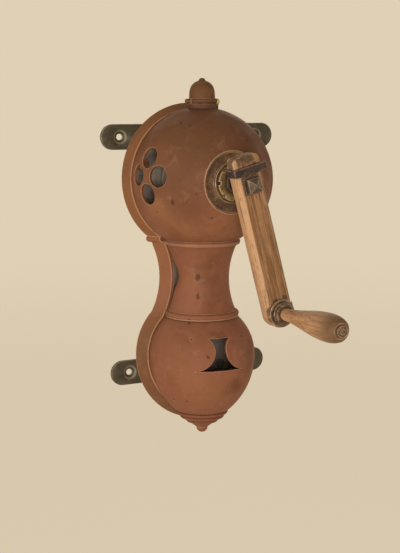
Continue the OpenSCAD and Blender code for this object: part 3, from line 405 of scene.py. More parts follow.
@dataclass(frozen=True)
class PaintFinish:
    """Red-brown oil paint, brushed on cast iron."""

    name: str
    base: str = "#955E41"
    warm: str = "#A26C4A"
    dark: str = "#75492F"
    olive: str = "#6F4A31"
    pale: str = "#C08F6E"
    iron: str = "#533429"
    blush: str = "#A0634A"
    # Pale inside of the hollows: partly bare, dusty casting, partly painted light where little light comes
    # in
    inside: str = "#B4A294"
    # The colour of the painted shade in the creases
    grime_and_shade: str = "#4A2D22"
    low: str | None = None
    wear: float = 1.0
    chips: tuple = ()
    painted_shade_spots: tuple = ()
    # Dried oil paint shines far less than a clear coat
    shine: float = 0.16

    def material(self) -> bpy.types.Material:
        """Builds the paint.

        Returns:
            The finished material.
        """
        g = Graph(bpy.data.materials.new(self.name))
        colour = self.shaded_and_brushed(g, self.tinted(g))
        # Blots where the paint has come off, in some regions only
        regions = g.clouds(36, 0.54, 0.62, detail=2, rough=0.5, shift=(0.2, 0.5, 0.3))
        wander = g.overlap(g.add("TexNoise", g.sized(3, rough=0.6)), 0.3)
        blots = g.overlap(g.dots(17, 0.27, 0.2, wander), regions)
        colour = g.coat(colour, self.iron, blots, 0.6 * self.wear)
        # Real rust specks are too fine to show, so these are drawn coarser
        speck = g.overlap(g.dots(3.4, 0.2, 0.08), g.clouds(22, 0.54, 0.66, detail=2))
        colour = g.coat(colour, self.iron, speck, 0.45 * self.wear)
        if self.chips:
            chip = g.ragged_places(self.chips)
            colour = g.coat(colour, self.iron, chip, 0.7)
            speck = g.add("Math", {0: speck, 1: chip}, operation="MAXIMUM")
        slant = g.add("Mapping", {"Vector": g.place, "Rotation": (0.3, 0.9, 0.5), "Scale": (1, 1, 14)},
                      vector_type="TEXTURE")
        scratch = g.clouds(3.2, 0.69, 0.74, detail=2, rough=0.5, place=slant)
        where = g.clouds(28, 0.54, 0.64, detail=2, rough=0.5, shift=(0.9, 0, 0))
        colour = g.coat(colour, self.pale, scratch, where, 0.4 * self.wear)
        # The inside is drawn pale, partly as painted light for the dark hollow
        inner = g.add("Attribute", out="Fac", attribute_name="inner")
        colour = g.coat(colour, self.inside, inner, 0.9)
        outer = g.add("Math", {0: 1.0, 1: inner}, operation="SUBTRACT")
        # Painted shade in the creases, darkest where they are least open
        colour = g.coat(colour, self.grime_and_shade, g.crease_shade(7, 0.62, 0.95, 0.5), outer)
        colour = g.coat(colour, self.pale, g.edge(), g.clouds(7, 0.3, 0.5, weak=0.4, detail=4, rough=0.6))
        # The grain of the casting sand is drawn coarser too
        sand = g.relief(1.6, 0.3, 0.3, rough=0.6)
        lumps = g.relief(14, 0.5, 1.0, under=sand, rough=0.5)
        hollows = g.add("Math", {0: speck, 1: blots}, operation="ADD")
        pits = g.add("Bump", {"Height": hollows, "Strength": 0.5, "Distance": -0.3 * MM, "Normal": lumps})
        rough = g.clouds(16, 0.3, 0.7, weak=0.5, strong=0.72, detail=4)
        return g.close(colour, rough, 0.0, pits, self.shine)

    def tinted(self, g: Graph) -> Socket:
        """The broad changes of colour, most of them by height; the darker top is partly painted shade.

        Args:
            g: the tree.

        Returns:
            The colour's socket.
        """
        height = g.add("SeparateXYZ", {0: g.place}, out="Z")
        colour = g.coat(srgb(self.base), self.warm, g.clouds(48, 0.34, 0.68, rough=0.5, warp=0.4))
        shade = g.clouds(64, 0.45, 0.75, strong=0.5, rough=0.5, warp=0.5, shift=(0.31, 0.12, 0.4))
        colour = g.coat(colour, self.dark, shade)
        # Olive and darker towards the top, and in patches on the upper ball: partly the paint's tone, partly
        # painted shade
        crown = g.add("MapRange", between(height, -0.06, 0.03, 0, 0.62), **SOFT)
        colour = g.coat(colour, self.olive, crown)
        upper = g.add("MapRange", between(height, -0.105, -0.05), **SOFT)
        patches = g.clouds(58, 0.4, 0.68, weak=0.1, strong=0.6, detail=2, rough=0.5, shift=(0.7, 0.2, 0.1))
        colour = g.coat(colour, self.olive, upper, patches)
        lower = g.add("MapRange", between(height, -0.085, -0.11), **SOFT)
        colour = g.coat(colour, self.blush, lower,
                        g.clouds(44, 0.35, 0.62, weak=0.1, strong=0.5, detail=2, rough=0.5))
        if self.low:
            foot = g.add("MapRange", between(height, -0.14, -0.19, 0, 0.9), **SOFT)
            colour = g.coat(colour, self.low, foot)
        return colour

    def shaded_and_brushed(self, g: Graph, colour: Socket) -> Socket:
        """The painted shade at chosen places and the brush marks.

        Args:
            g: the tree.
            colour: the colour below.

        Returns:
            The colour's socket.
        """
        # Painted shade at the chosen places
        if self.painted_shade_spots:
            colour = g.coat(colour, self.dark, g.ragged_places(self.painted_shade_spots, 20, (1.3, 0.3)), 0.62)
        stroke = g.add("TexNoise", g.sized(13, detail=4, rough=0.6, warp=1.0))
        colour = g.coat(colour, self.pale, g.add("MapRange", between(stroke, 0.52, 0.76, 0, 0.22), **SOFT))
        return g.coat(colour, self.dark, g.add("MapRange", between(stroke, 0.44, 0.26, 0, 0.24), **SOFT))


@dataclass(frozen=True)
class IronFinish:
    """Bare or blackened iron, forged, filed or rolled."""

    name: str
    base: str = "#443E30"
    second: str = "#38342A"
    worn: str = "#877C66"
    rust: str = "#5A4030"
    crease_shade_tint: str = "#231E1A"
    metal: float = 0.45
    rough: float = 0.55
    patch_mm: float = 9
    hammer: float = 0.4
    sinks: bool = False

    def material(self) -> bpy.types.Material:
        """Builds the iron.

        Returns:
            The finished material.
        """
        g = Graph(bpy.data.materials.new(self.name))
        colour = g.coat(srgb(self.base), self.second,
                        g.clouds(self.patch_mm, 0.36, 0.64, detail=4, rough=0.6, warp=0.5))
        rust = g.clouds(self.patch_mm * 0.7, 0.55, 0.72, strong=0.7, detail=5, rough=0.65,
                        shift=(0.4, 0.1, 0.2))
        colour = g.coat(colour, self.rust, rust)
        colour = g.coat(colour, self.worn, g.clouds(1.5, 0.6, 0.75, strong=0.35, rough=0.6))
        rub = g.overlap(g.edge(), g.clouds(5, 0.35, 0.6, weak=0.2, strong=0.85, detail=4, rough=0.6))
        if self.sinks:
            for side, z in STRAP_HOLES:
                for sign in (-1, 1):
                    ring = g.overlap(g.rim((sign * side * MM, 0, z * MM), SINK_R, 0.0011, 0.0003), 0.75)
                    rub = g.add("Math", {0: rub, 1: ring}, operation="MAXIMUM")
        colour = g.coat(colour, self.worn, rub)
        # Painted shade in the creases
        colour = g.coat(colour, self.crease_shade_tint, g.crease_shade(4, 0.5, 0.9, 0.5))
        dull = g.overlap(rust, 0.15)
        polish = g.clouds(6, 0.3, 0.7, weak=self.rough - 0.1, strong=self.rough + 0.12)
        rough = g.add("Math", {0: polish, 1: dull}, operation="ADD")
        beaten = g.relief(5, self.hammer, 0.8, detail=2, rough=0.4)
        # The grain of the forge scale is finer than this, too fine to show
        grain = g.relief(0.8, 0.25, 0.15, under=beaten, rough=0.6)
        return g.close(colour, rough, self.metal, grain)


@dataclass(frozen=True)
class BrassFinish:
    """Cast and turned brass with tarnish and dark stains."""

    name: str
    bright: str = "#A18A4C"
    dull: str = "#6F5C36"
    dark: str = "#4A322C"
    green: str = "#5C5A38"
    rubbed: str = "#D8B48A"
    crease_shade_tint: str = "#2E211C"
    tarnish: float = 0.5
    size_mm: float = 7
    # How far the wear reaches from a sharp edge, or 0 for the marked edges alone
    wear_mm: float = 0.9

    def material(self) -> bpy.types.Material:
        """Builds the brass.

        Returns:
            The finished material.
        """
        g = Graph(bpy.data.materials.new(self.name))
        bright = g.clouds(self.size_mm * 1.4, 0.38, 0.62, warp=0.6)
        colour = g.coat(srgb(self.dull), self.bright, bright)
        green = g.clouds(self.size_mm, 0.5, 0.66, strong=0.7, detail=4, rough=0.6, shift=(0.1, 0.3, 0.2))
        colour = g.coat(colour, self.green, green)
        stain = g.clouds(self.size_mm * 0.8, 0.56 - self.tarnish * 0.16, 0.66, strong=0.92, detail=4,
                         rough=0.6, warp=0.8, shift=(0.6, 0.3, 0.7))
        colour = g.coat(colour, self.dark, stain)
        colour = g.coat(colour, self.rubbed, g.edge(self.wear_mm),
                        g.clouds(6, 0.3, 0.5, weak=0.45, strong=0.95, rough=0.6))
        # Painted shade in the creases
        colour = g.coat(colour, self.crease_shade_tint, g.crease_shade(4, 0.5, 0.9, 0.6))
        polish = g.clouds(5, 0.3, 0.7, weak=0.36, strong=0.52)
        rough = g.add("Math", {0: polish, 1: g.overlap(stain, 0.18)}, operation="ADD")
        metal = g.add("Math", {0: 0.6, 1: g.overlap(stain, 0.4)}, operation="SUBTRACT")
        lumps = g.relief(3.2, 0.45, 0.5)
        return g.close(colour, rough, metal, g.relief(0.7, 0.2, 0.12, under=lumps, detail=2, rough=0.6))


@dataclass(frozen=True)
class WoodFinish:
    """Straight-grained wood, oiled by hands."""

    name: str
    base: str = "#A67B50"
    light: str = "#C79A69"
    dark: str = "#7A5433"
    edge: str = "#DDB081"
    pore: str = "#5E3F26"
    # The colour of broad patches of dirt on the wood
    grime_and_shade: str = "#7E5D3D"
    burnt: str = "#5A3D26"
    stain_and_shade_tint: str = "#4A382B"
    crease_shade_tint: str = "#3F2A1C"
    turn: tuple = (0.0, 0.0, 0.0)
    grain_axis: int = 2
    # The scale of the bands and of the pores along the grain: the smaller, the longer they are
    band_stretch: float = 0.045
    pore_stretch: float = 0.09
    # Where along Y the dark end is, and how far the dark runs from it
    dark_end: tuple | None = None
    stains_and_shade: tuple = ()
    # Where across the arm the painted light of its pale side is full, and where it ends
    painted_lit_side: tuple | None = None
    # Oiled wood shines a little more than dry wood
    shine: float = 0.28

    def along(self, g: Graph, straight: Socket, stretch: float) -> Socket:
        """Coordinates that are drawn out along the grain.

        Args:
            g: the tree.
            straight: the coordinates, turned so that the grain is straight.
            stretch: the scale along the grain.

        Returns:
            The coordinates' socket.
        """
        scale = [1.0, 1.0, 1.0]
        scale[self.grain_axis] = stretch
        return g.add("Mapping", {"Vector": straight, "Scale": tuple(scale)})

    def material(self) -> bpy.types.Material:
        """Builds the wood.

        Returns:
            The finished material.
        """
        g = Graph(bpy.data.materials.new(self.name))
        straight = g.place
        if any(self.turn):
            straight = g.add("Mapping", {"Vector": g.place, "Rotation": self.turn}, vector_type="TEXTURE")
        grain = self.along(g, straight, self.band_stretch)
        bands = g.add("TexNoise", g.sized(4.2, detail=4, rough=0.6, warp=0.7, place=grain))
        colour = g.coat(srgb(self.base), self.light, g.add("MapRange", between(bands, 0.4, 0.6), **SOFT))
        glow = g.clouds(1.9, 0.54, 0.66, strong=0.4, rough=0.6, warp=0.3, shift=(0.013, 0.021, 0.3),
                        place=grain)
        colour = g.coat(colour, self.edge, glow)
        if self.painted_lit_side:
            # Painted light: the arm's left side is drawn paler, as if lit from the left
            across = g.add("SeparateXYZ", {0: straight}, out="X")
            side = g.add("MapRange", between(across, self.painted_lit_side[1], self.painted_lit_side[0], 0, 0.85), **SOFT)
            colour = g.coat(colour, self.edge, side)
        colour = g.coat(colour, self.dark,
                        g.clouds(1.5, 0.52, 0.66, strong=0.75, detail=4, rough=0.65, warp=0.4, place=grain))
        # Real pores are about half as wide, too fine to show
        pore = g.clouds(0.62, 0.6, 0.7, strong=0.6, detail=2, rough=0.6,
                        place=self.along(g, straight, self.pore_stretch))
        colour = g.coat(colour, self.pore, pore)
        colour = g.coat(colour, self.grime_and_shade,
                        g.clouds(24, 0.5, 0.74, strong=0.5, detail=4, rough=0.6, warp=0.5, place=straight))
        if self.dark_end:
            end_y, run = self.dark_end
            depth = g.add("SeparateXYZ", {0: g.place}, out="Y")
            burnt = g.add("MapRange", between(depth, end_y + run, end_y, 0, 0.8), **SOFT)
            colour = g.coat(colour, self.burnt, burnt)
        colour = g.coat(colour, self.edge, g.edge(),
                        g.clouds(10, 0.35, 0.6, weak=0.1, strong=0.6, rough=0.6))
        # Stains at the arm's top end, and painted shadow round the grip's foot
        if self.stains_and_shade:
            colour = g.coat(colour, self.stain_and_shade_tint, g.ragged_places(self.stains_and_shade, 6), 0.72)
        # Painted shade in the creases
        colour = g.coat(colour, self.crease_shade_tint, g.crease_shade(4, 0.5, 0.85, 0.5))
        rough = g.add("MapRange", between(bands, 0.3, 0.7, 0.46, 0.62), **SOFT)
        ridges = g.relief(1.3, 0.35, 0.3, rough=0.6, place=grain)
        cuts = g.add("Bump", {"Height": pore, "Strength": 0.4, "Distance": -0.2 * MM, "Normal": ridges})
        return g.close(colour, rough, 0.0, cuts, self.shine)


MADE: dict[str, bpy.types.Material] = {}


class Finish(Enum):
    """Every finish on the mill."""

    # Oil paint on sand-cast iron: dull and cloudy, olive and darker on top, partly as painted shade, with
    # iron showing through in chips and painted shade at chosen places
    SHELL = PaintFinish("shell_paint", chips=CHIPS, painted_shade_spots=PAINTED_SHADE_SPOTS)
    # The same paint, handled less: an even yellower brown that turns olive at the foot
    TRAY = PaintFinish("tray_paint", base="#94613F", warm="#A06C48", dark="#6F482E", olive="#8A5C38",
                       pale="#B98560", low="#80573A")
    # Paint rubbed thin on a raised bead, also drawn paler as a painted highlight: a paler pink line between
    # two creases darkened by painted shade
    BEAD = PaintFinish("bead_paint", base="#B27A5C", warm="#C08A6A", dark="#8E5A42", pale="#D0A080",
                       blush="#B87E60", wear=0.5)
    # Paint darkened by fingers, on the lid and the neck below it
    LID = PaintFinish("lid_paint", base="#85573C", warm="#935F40", dark="#5E3B29", olive="#75502F",
                      wear=0.6)
    NECK = PaintFinish("neck_paint", base="#855A40", warm="#8E6248", dark="#6A4632", olive="#74503A",
                       wear=0.6)
    # Thick paint on turned iron: dark in its grooves by painted shade
    PLUG = PaintFinish("plug_paint", base="#865236", warm="#98623F", dark="#5A3824", wear=0.8)
    # Wrought iron, forged and oiled: an olive black with grey rims round the sunk holes
    STRAP = IronFinish("forged_strap", base="#5C5342", second="#4A4435", worn="#978B72", sinks=True,
                       hammer=0.5)
    # Peened iron rivets, dulled by dust: a grey brown with hardly any shine
    RIVET = IronFinish("peened_rivet", base="#8A7A6A", second="#75675A", worn="#A89886", rust="#7A5C48",
                       metal=0.1)
    # Wrought iron, blackened at the forge: a warm black with worn edges
    DARK = IronFinish("forged_dark", base="#4C3A36", second="#3A2E2C", worn="#8A7462", rust="#604437",
                      metal=0.5)
    # Filed iron: grey facets and pale edges under brown rust
    NUT = IronFinish("filed_nut", base="#6B5748", second="#4C3C34", worn="#A08A70", rust="#5A4234",
                     patch_mm=4)
    # Chilled cast iron: hard, grey and smooth where the teeth work
    TOOTH = IronFinish("chilled_iron", base="#5A5550", second="#45413D", worn="#9A948A", rust="#5A473C",
                       rough=0.45)
    # Bare castings under old coffee dust: pale and without shine, partly as painted light in the dark hollow
    HOUSING = IronFinish("dusty_casting", base="#B09A86", second="#9A8878", worn="#C4B4A0", rust="#9A7A64",
                         metal=0.0)
    # Tinned sheet, rolled flat: a dull light grey under the same dust
    SHEET = IronFinish("rolled_sheet", base="#B8A898", second="#A09080", worn="#C8BCAC", rust="#A08468",
                       metal=0.0, patch_mm=14, hammer=0.15)
    # Cast brass, yellow where the fingers turn it, with green and red-brown tarnish
    BRASS = BrassFinish("tarnished_brass", bright="#BCA060", dull="#8E7446", dark="#5E423A",
                        green="#7E6A42")
    # Turned brass, mottled red-brown, with a bright line on its outer rim
    FLANGE = BrassFinish("stained_brass", bright="#9A7C52", dull="#7A5A44", dark="#5A3C38", green="#6A5440",
                         tarnish=0.7, size_mm=6, wear_mm=0)
    # Drawn brass wire, kept bright by the lid: a clean light yellow
    PIN = BrassFinish("rubbed_brass", bright="#E0CC70", dull="#C4AE5A", green="#B09C50", tarnish=0.0)
    # Turned brass, dulled by sweat: brown rings with lighter crests
    FERRULE = BrassFinish("dulled_brass", bright="#9A8062", dull="#6B5140", dark="#46352C", green="#6A5A48",
                          tarnish=0.7, size_mm=4)
    # Sawn and chamfered oak, oiled: long streaks, open pores, and one side painted paler as if lit
    ARM = WoodFinish("oiled_oak", base="#96683F", light="#B4855A", dark="#62432B", edge="#E0AE82",
                     turn=(0.0, -CRANK_LEAN, 0.0), painted_lit_side=(-0.0192, -0.0180), stains_and_shade=STAINS_AND_SHADE)
    # Turned beech: fine short flecks, polished by the hand and dark at its outer end
    GRIP = WoodFinish("turned_beech", base="#C49268", light="#D8A67A", dark="#946A46", grain_axis=1,
                      dark_end=(-0.208, 0.026))

    def material(self) -> bpy.types.Material:
        """The material, made once."""
        if self.name not in MADE:
            MADE[self.name] = self.value.material()
        return MADE[self.name]


@dataclass
class Piece:
    """A mesh that is being shaped."""

    name: str
    bm: bmesh.types.BMesh
    smooth_deg: float = 32

    @classmethod
    def of_node(cls, node: str) -> "Piece":
        """Starts from a copy of a CAD node, welded and with its flat faces joined.

        Args:
            node: the CAD node.

        Returns:
            The piece.
        """
        piece = cls(f"{node}_look", bmesh.new())
        piece.bm.from_mesh(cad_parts[node].data)
        piece.weld()
        # The thin rims that look at the wall are left as they are
        edges = [e for e in piece.bm.edges if not all(abs(f.normal.y) > TO_WALL for f in e.link_faces)]
        bmesh.ops.dissolve_limit(piece.bm, angle_limit=FLAT, verts=[], edges=edges)
        return piece

    def weld(self) -> None:
        """Joins vertices that are one and the same, and turns the faces outward."""
        bmesh.ops.remove_doubles(self.bm, verts=self.bm.verts, dist=WELD)
        bmesh.ops.recalc_face_normals(self.bm, faces=self.bm.faces)

    def mark(self, name: str, faces: list) -> None:
        """Adds a corner attribute that is 1 on some faces and 0 elsewhere.

        Args:
            name: the attribute's name.
            faces: the faces.
        """
        layer = self.bm.loops.layers.float_color.new(name)
        chosen = set(faces)
        for face in self.bm.faces:
            share = 1.0 if face in chosen else 0.0
            for loop in face.loops:
                loop[layer] = (share, share, share, 1.0)

    def soften(self, width_mm: float, angle_deg: float = 38, segments: int = 2,
               keep: Callable[[bmesh.types.BMEdge], bool] | None = None) -> "Piece":
        """Rounds the sharp edges and marks them as worn.

        Args:
            width_mm: how wide the rounding is.
            angle_deg: how sharp an edge must be.
            segments: how many faces the rounding has.
            keep: a test of an edge, or None for all.

        Returns:
            This piece.
        """
        limit = math.radians(angle_deg)
        edges = [e for e in self.bm.edges if len(e.link_faces) == 2 and limit < e.calc_face_angle(0) < ACUTE
                 and (keep is None or keep(e))]
        made = bmesh.ops.bevel(self.bm, geom=edges, offset=width_mm * MM, offset_type="OFFSET",
                               segments=segments, profile=0.5, affect="EDGES", clamp_overlap=False,
                               material=-1)
        widest = width_mm * MM * STRIP
        strips = [face for face in made["faces"]
                  if face.calc_area() < widest * max(edge.calc_length() for edge in face.edges)]
        self.mark("edge", strips)
        return self

    def turned(self, outline_mm: tuple, x_mm: float = 0, steps: int = 72) -> "Piece":
        """Adds a closed body turned about an upright axis.

        Args:
            outline_mm: radius and height of each point of its half section.
            x_mm: where the axis stands, sideways from the mill's own.
            steps: faces in a full turn.

        Returns:
            This piece.
        """
        centre = Vector((x_mm * MM, AXIS_Y, 0))
        rim = [self.bm.verts.new(centre + Vector((r * MM, 0, z * MM))) for r, z in outline_mm]
        pairs = list(zip(rim, rim[1:]))
        if outline_mm[0][0] > 0:
            pairs.append((rim[-1], rim[0]))
        lines = [self.bm.edges.new(pair) for pair in pairs]
        bmesh.ops.spin(self.bm, geom=rim + lines, cent=centre, axis=(0, 0, 1), angle=math.tau,
                       steps=steps, use_merge=True)
        self.weld()
        return self

    def cut(self, place_mm: tuple, away: tuple, both: bool = False) -> "Piece":
        """Cuts along a plane. What lies beyond it goes, and the cut is closed.

        Args:
            place_mm: a point on the plane.
            away: the direction of the side that goes.
            both: whether both sides stay, so that the cut only adds edges.

        Returns:
            This piece.
        """
        geom = [*self.bm.verts, *self.bm.edges, *self.bm.faces]
        made = bmesh.ops.bisect_plane(self.bm, geom=geom, dist=SNAP, plane_co=Vector(place_mm) * MM,
                                      plane_no=away, clear_outer=not both)
        if not both:
            rim = [e for e in made["geom_cut"] if isinstance(e, bmesh.types.BMEdge)]
            bmesh.ops.holes_fill(self.bm, edges=rim)
        return self

    def roughen(self, size_mm: float, depth_mm: float, seed: float = 0) -> "Piece":
        """Moves the vertices a little along their normals.

        Args:
            size_mm: the size of one lump.
            depth_mm: its greatest height.
            seed: moves the pattern.

        Returns:
            This piece.
        """
        self.bm.normal_update()
        shift = Vector((seed, seed * 0.7, seed * 1.3))
        for vert in self.bm.verts:
            lump = noise.noise(vert.co * per_metre(size_mm) + shift)
            vert.co += vert.normal * lump * depth_mm * MM
        return self

    def mark_inner(self, within_y: float | None = None) -> "Piece":
        """Marks the faces that look in at the hollow, and in a tray only those beyond within_y."""
        self.mark("inner", [face for face in self.bm.faces if self.looks_in(face, within_y)])
        return self

    @staticmethod
    def looks_in(face: bmesh.types.BMFace, within_y: float | None) -> bool:
        """Whether a face looks in at the hollow.

        Args:
            face: the face.
            within_y: None for a shell. In a tray, only faces nearer the wall than this count.

        Returns:
            Whether it does.
        """
        middle = face.calc_center_median()
        height = BALL_Z if middle.z > BALL_Z else max(middle.z, LOWER_Z)
        away = middle - Vector((0, AXIS_Y, height))
        if within_y is None:
            return face.normal.dot(away.normalized()) < SHELL_INSIDE
        # A tray is open to the front, so its floor looks neither in nor out
        away.y = 0
        outward = face.normal.dot(away.normalized())
        floor = face.normal.y < TRAY_INSIDE and outward < FLOOR_OUT
        return middle.y > within_y and (outward < TRAY_INSIDE or floor)

    def publish(self, body: str, finish: Finish, *nodes: str) -> bpy.types.Object:
        """Makes the object and hands it to its body.

        Args:
            body: the CAD body that it rides on.
            finish: its finish.
            nodes: the CAD nodes that it stands for.

        Returns:
            The object.
        """
        limit = math.radians(self.smooth_deg)
        for face in self.bm.faces:
            face.smooth = True
        for edge in self.bm.edges:
            edge.smooth = not (len(edge.link_faces) == 2 and edge.calc_face_angle(0) > limit)
        obj = shown(self.name, self.bm, finish.material())
        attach(obj, body)
        if nodes:
            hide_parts(*nodes)
        return obj


@dataclass(frozen=True)
class Softened:
    """A CAD node that is shown with rounded edges."""

    node: str
    body: str
    finish: Finish
    width_mm: float = 0.4
    angle_deg: float = 38
    segments: int = 2
    hollow: bool = False
    within_y: float | None = None
    sharp_ring: tuple | None = None

    def rounds(self, edge: bmesh.types.BMEdge) -> bool:
        """Whether an edge is rounded: not when it lies in the ring that stays sharp.

        Args:
            edge: the edge.

        Returns:
            Whether it is rounded.
        """
        if self.sharp_ring is None:
            return True
        middle = (edge.verts[0].co + edge.verts[1].co) / 2
        away = math.hypot(middle.x, middle.z - BALL_Z) / MM
        return not self.sharp_ring[0] < away < self.sharp_ring[1]

    def build(self) -> bpy.types.Object:
        """Makes the rounded copy.

        Returns:
            The object.
        """
        piece = Piece.of_node(self.node).soften(self.width_mm, self.angle_deg, self.segments, self.rounds)
        if self.hollow:
            piece.mark_inner(self.within_y)
        return piece.publish(self.body, self.finish, self.node)


@dataclass
class Lid:
    """The bell-shaped lid with its flange, thumb lip and knob, in millimetres."""

    flange_top: float = 33.3
    flange_foot: float = 29.3
    lip_x: float = -12.0
    lip_r: float = 4.5
    # The CAD's dome goes just above the flange, and its lip just outside the new one's axis
    dome_gap: float = 0.05
    lip_gap: float = 0.9
    # How far the new lip's faces stand over the flange's
    lip_proud: float = 0.04
    lip_steps: int = 48
    # Radius and height above the flange: the knob's foot, the bell's outside, and its inside
    bell: tuple = ((0, 18.06), (0.8, 18.0), (1.6, 17.8), (2.3, 17.3), (2.6, 16.7), (2.8, 16.2),
                   (3.3, 15.75), (4.2, 15.35), (5.4, 14.85), (6.6, 14.15), (7.8, 13.2), (8.8, 12.15),
                   (9.6, 11.0), (10.2, 9.8), (10.7, 8.4), (11.05, 6.9), (11.3, 5.0), (11.4, 2.6),
                   (11.4, -0.4), (9.4, -0.4), (9.4, 6.2), (8.6, 9.2), (6.5, 11.3), (3.2, 12.5), (0, 12.8))

    def build(self) -> bpy.types.Object:
        """Makes the lid from its hinge part, a turned bell and a rounded lip.

        Returns:
            The object.
        """
        piece = Piece.of_node("filler_lid")
        piece.cut((0, 0, self.flange_top + self.dome_gap), (0, 0, 1))
        piece.cut((self.lip_x - self.lip_gap, 0, 0), (-1, 0, 0))
        piece.turned(tuple((r, self.flange_top + h) for r, h in self.bell))
        half = (self.flange_top - self.flange_foot) / 2 + self.lip_proud
        middle = (self.flange_top + self.flange_foot) / 2
        nose = half_round(self.lip_r, middle, half)
        piece.turned(((0, middle + half), *nose, (0, middle - half)), self.lip_x, self.lip_steps)
        return piece.publish("lid", Finish.LID, "filler_lid")


@dataclass
class Neck:
    """The filler neck, with the thin lip that the closed lid stands over, in millimetres."""

    lip: tuple = ((8.05, 28.0), (8.8, 28.0), (8.8, 30.1), (8.65, 30.25), (8.2, 30.25), (8.05, 30.1))

    def build(self) -> bpy.types.Object:
        """Makes the neck and returns it."""
        return Piece.of_node("filler_neck").turned(self.lip).publish("casing", Finish.NECK, "filler_neck")


@dataclass
class Waist:
    """The waist, whose edges stand a little inside the tray's rim at its narrowest, in millimetres."""

    middle_z: float = -123.0
    reach_z: float = 17.0
    gap: float = 4.4
    from_y: float = -39.0
    edge_y: float = -13.0
    round_mm: float = 0.4
    # Cuts that give the tucked part enough vertices to bend
    cuts: tuple = (-112, -115, -118, -121, -124, -127, -130, -133)

    def build(self) -> bpy.types.Object:
        """Makes the waist.

        Returns:
            The object.
        """
        piece = Piece.of_node("waist_shell")
        for height in self.cuts:
            piece.cut((0, 0, height), (0, 0, 1), both=True)
        piece.soften(self.round_mm)
        for vert in piece.bm.verts:
            x, y, z = (part / MM for part in vert.co)
            near = 1 - abs(z - self.middle_z) / self.reach_z
            deep = (y - self.from_y) / (self.edge_y - self.from_y)
            vert.co.x -= math.copysign(self.gap * eased(near) * eased(deep) * MM, x)
        return piece.mark_inner().publish("casing", Finish.SHELL, "waist_shell")


@dataclass
class Bead:
    """The rounded bead under the upper ball, as far as the joint with the tray, in millimetres."""

    middle_z: float = -92.8
    half: float = 2.6
    nose_r: float = 34.3
    root_r: float = 29.0
    joint_y: float = -12.1
    steps: int = 96

    def build(self) -> bpy.types.Object:
        """Makes the bead.

        Returns:
            The object.
        """
        arc = half_round(self.nose_r, self.middle_z, self.half)
        outline = ((self.root_r, self.middle_z + self.half), *arc, (self.root_r, self.middle_z - self.half))
        piece = Piece("waist_bead", bmesh.new()).turned(outline, steps=self.steps)
        return piece.cut((0, self.joint_y, 0), (0, 1, 0)).publish("casing", Finish.BEAD)


@dataclass
class Assembly:
    """Pieces that belong together."""

    parts: tuple = ()

    def build(self) -> list[bpy.types.Object]:
        """Makes the pieces and returns them."""
        return [part.build() for part in self.parts]


@dataclass
class Castings(Assembly):
    """The two castings, the lid, the plug and the straps."""

    parts: tuple = (
        Softened("hopper_shell", "casing", Finish.SHELL, 0.4, hollow=True),
        Softened("receiver_shell", "casing", Finish.SHELL, 0.4, hollow=True),
        Softened("back_tray", "casing", Finish.TRAY, 0.7, hollow=True, within_y=-0.0115),
        Softened("upper_wall_strap", "casing", Finish.STRAP, 0.5),
        Softened("lower_wall_strap", "casing", Finish.STRAP, 0.5),
        Softened("bottom_plug", "plug", Finish.PLUG, 0.35),
        Lid(), Neck(), Waist(), Bead(),
    )


@dataclass(frozen=True)
class Band:
    """The forged iron band round the arm's top."""

    taller: float = 1.35
    round_mm: float = 0.8
    # No edge stays longer than this, so that the hammer marks show
    edge_mm: float = 2.5
    lump_mm: float = 5.5
    lump_depth_mm: float = 1.3
    # Moves the hammer marks along
    seed: float = 0.37
    smooth_deg: float = 50

    def build(self) -> bpy.types.Object:
        """Makes the hammered band.

        Returns:
            The object.
        """
        piece = Piece.of_node("arm_band")
        along = Vector((math.sin(CRANK_LEAN), 0, -math.cos(CRANK_LEAN)))
        heights = [vert.co.dot(along) for vert in piece.bm.verts]
        middle = (min(heights) + max(heights)) / 2
        for vert, height in zip(piece.bm.verts, heights):
            vert.co += along * (height - middle) * (self.taller - 1)
        piece.soften(self.round_mm, segments=3)
        bmesh.ops.triangulate(piece.bm, faces=[f for f in piece.bm.faces if len(f.verts) > 4])
        while long_edges := [e for e in piece.bm.edges if e.calc_length() > self.edge_mm * MM]:
            bmesh.ops.subdivide_edges(piece.bm, edges=long_edges, cuts=1, use_grid_fill=True)
        piece.roughen(self.lump_mm, self.lump_depth_mm, self.seed)
        piece.smooth_deg = self.smooth_deg
        return piece.publish("crank", Finish.DARK, "arm_band")


@dataclass
class Crank(Assembly):
    """The wooden arm, its irons and the grip."""

    parts: tuple = (
        Softened("crank_arm", "crank", Finish.ARM, 0.6, 30, 3),
        Softened("square_plate", "crank", Finish.NUT, 0.25),
        Softened("square_nut", "crank", Finish.NUT, 0.5),
        Softened("grip_ferrule", "grip", Finish.FERRULE, 0.2),
        Softened("spindle_washer", "crank", Finish.FERRULE, 0.3),
        Softened("grip", "grip", Finish.GRIP, 0.5),
        Band(),
    )


@dataclass
class Bearing(Assembly):
    """The front flange, its nut and the bush."""

    parts: tuple = (
        Softened("bearing_flange", "casing", Finish.FLANGE, 0.3, sharp_ring=(18.6, 25.2)),
        Softened("adjusting_nut", "adjuster", Finish.BRASS, 0.4),
        Softened("front_bush", "casing", Finish.NUT, 0.3),
    )


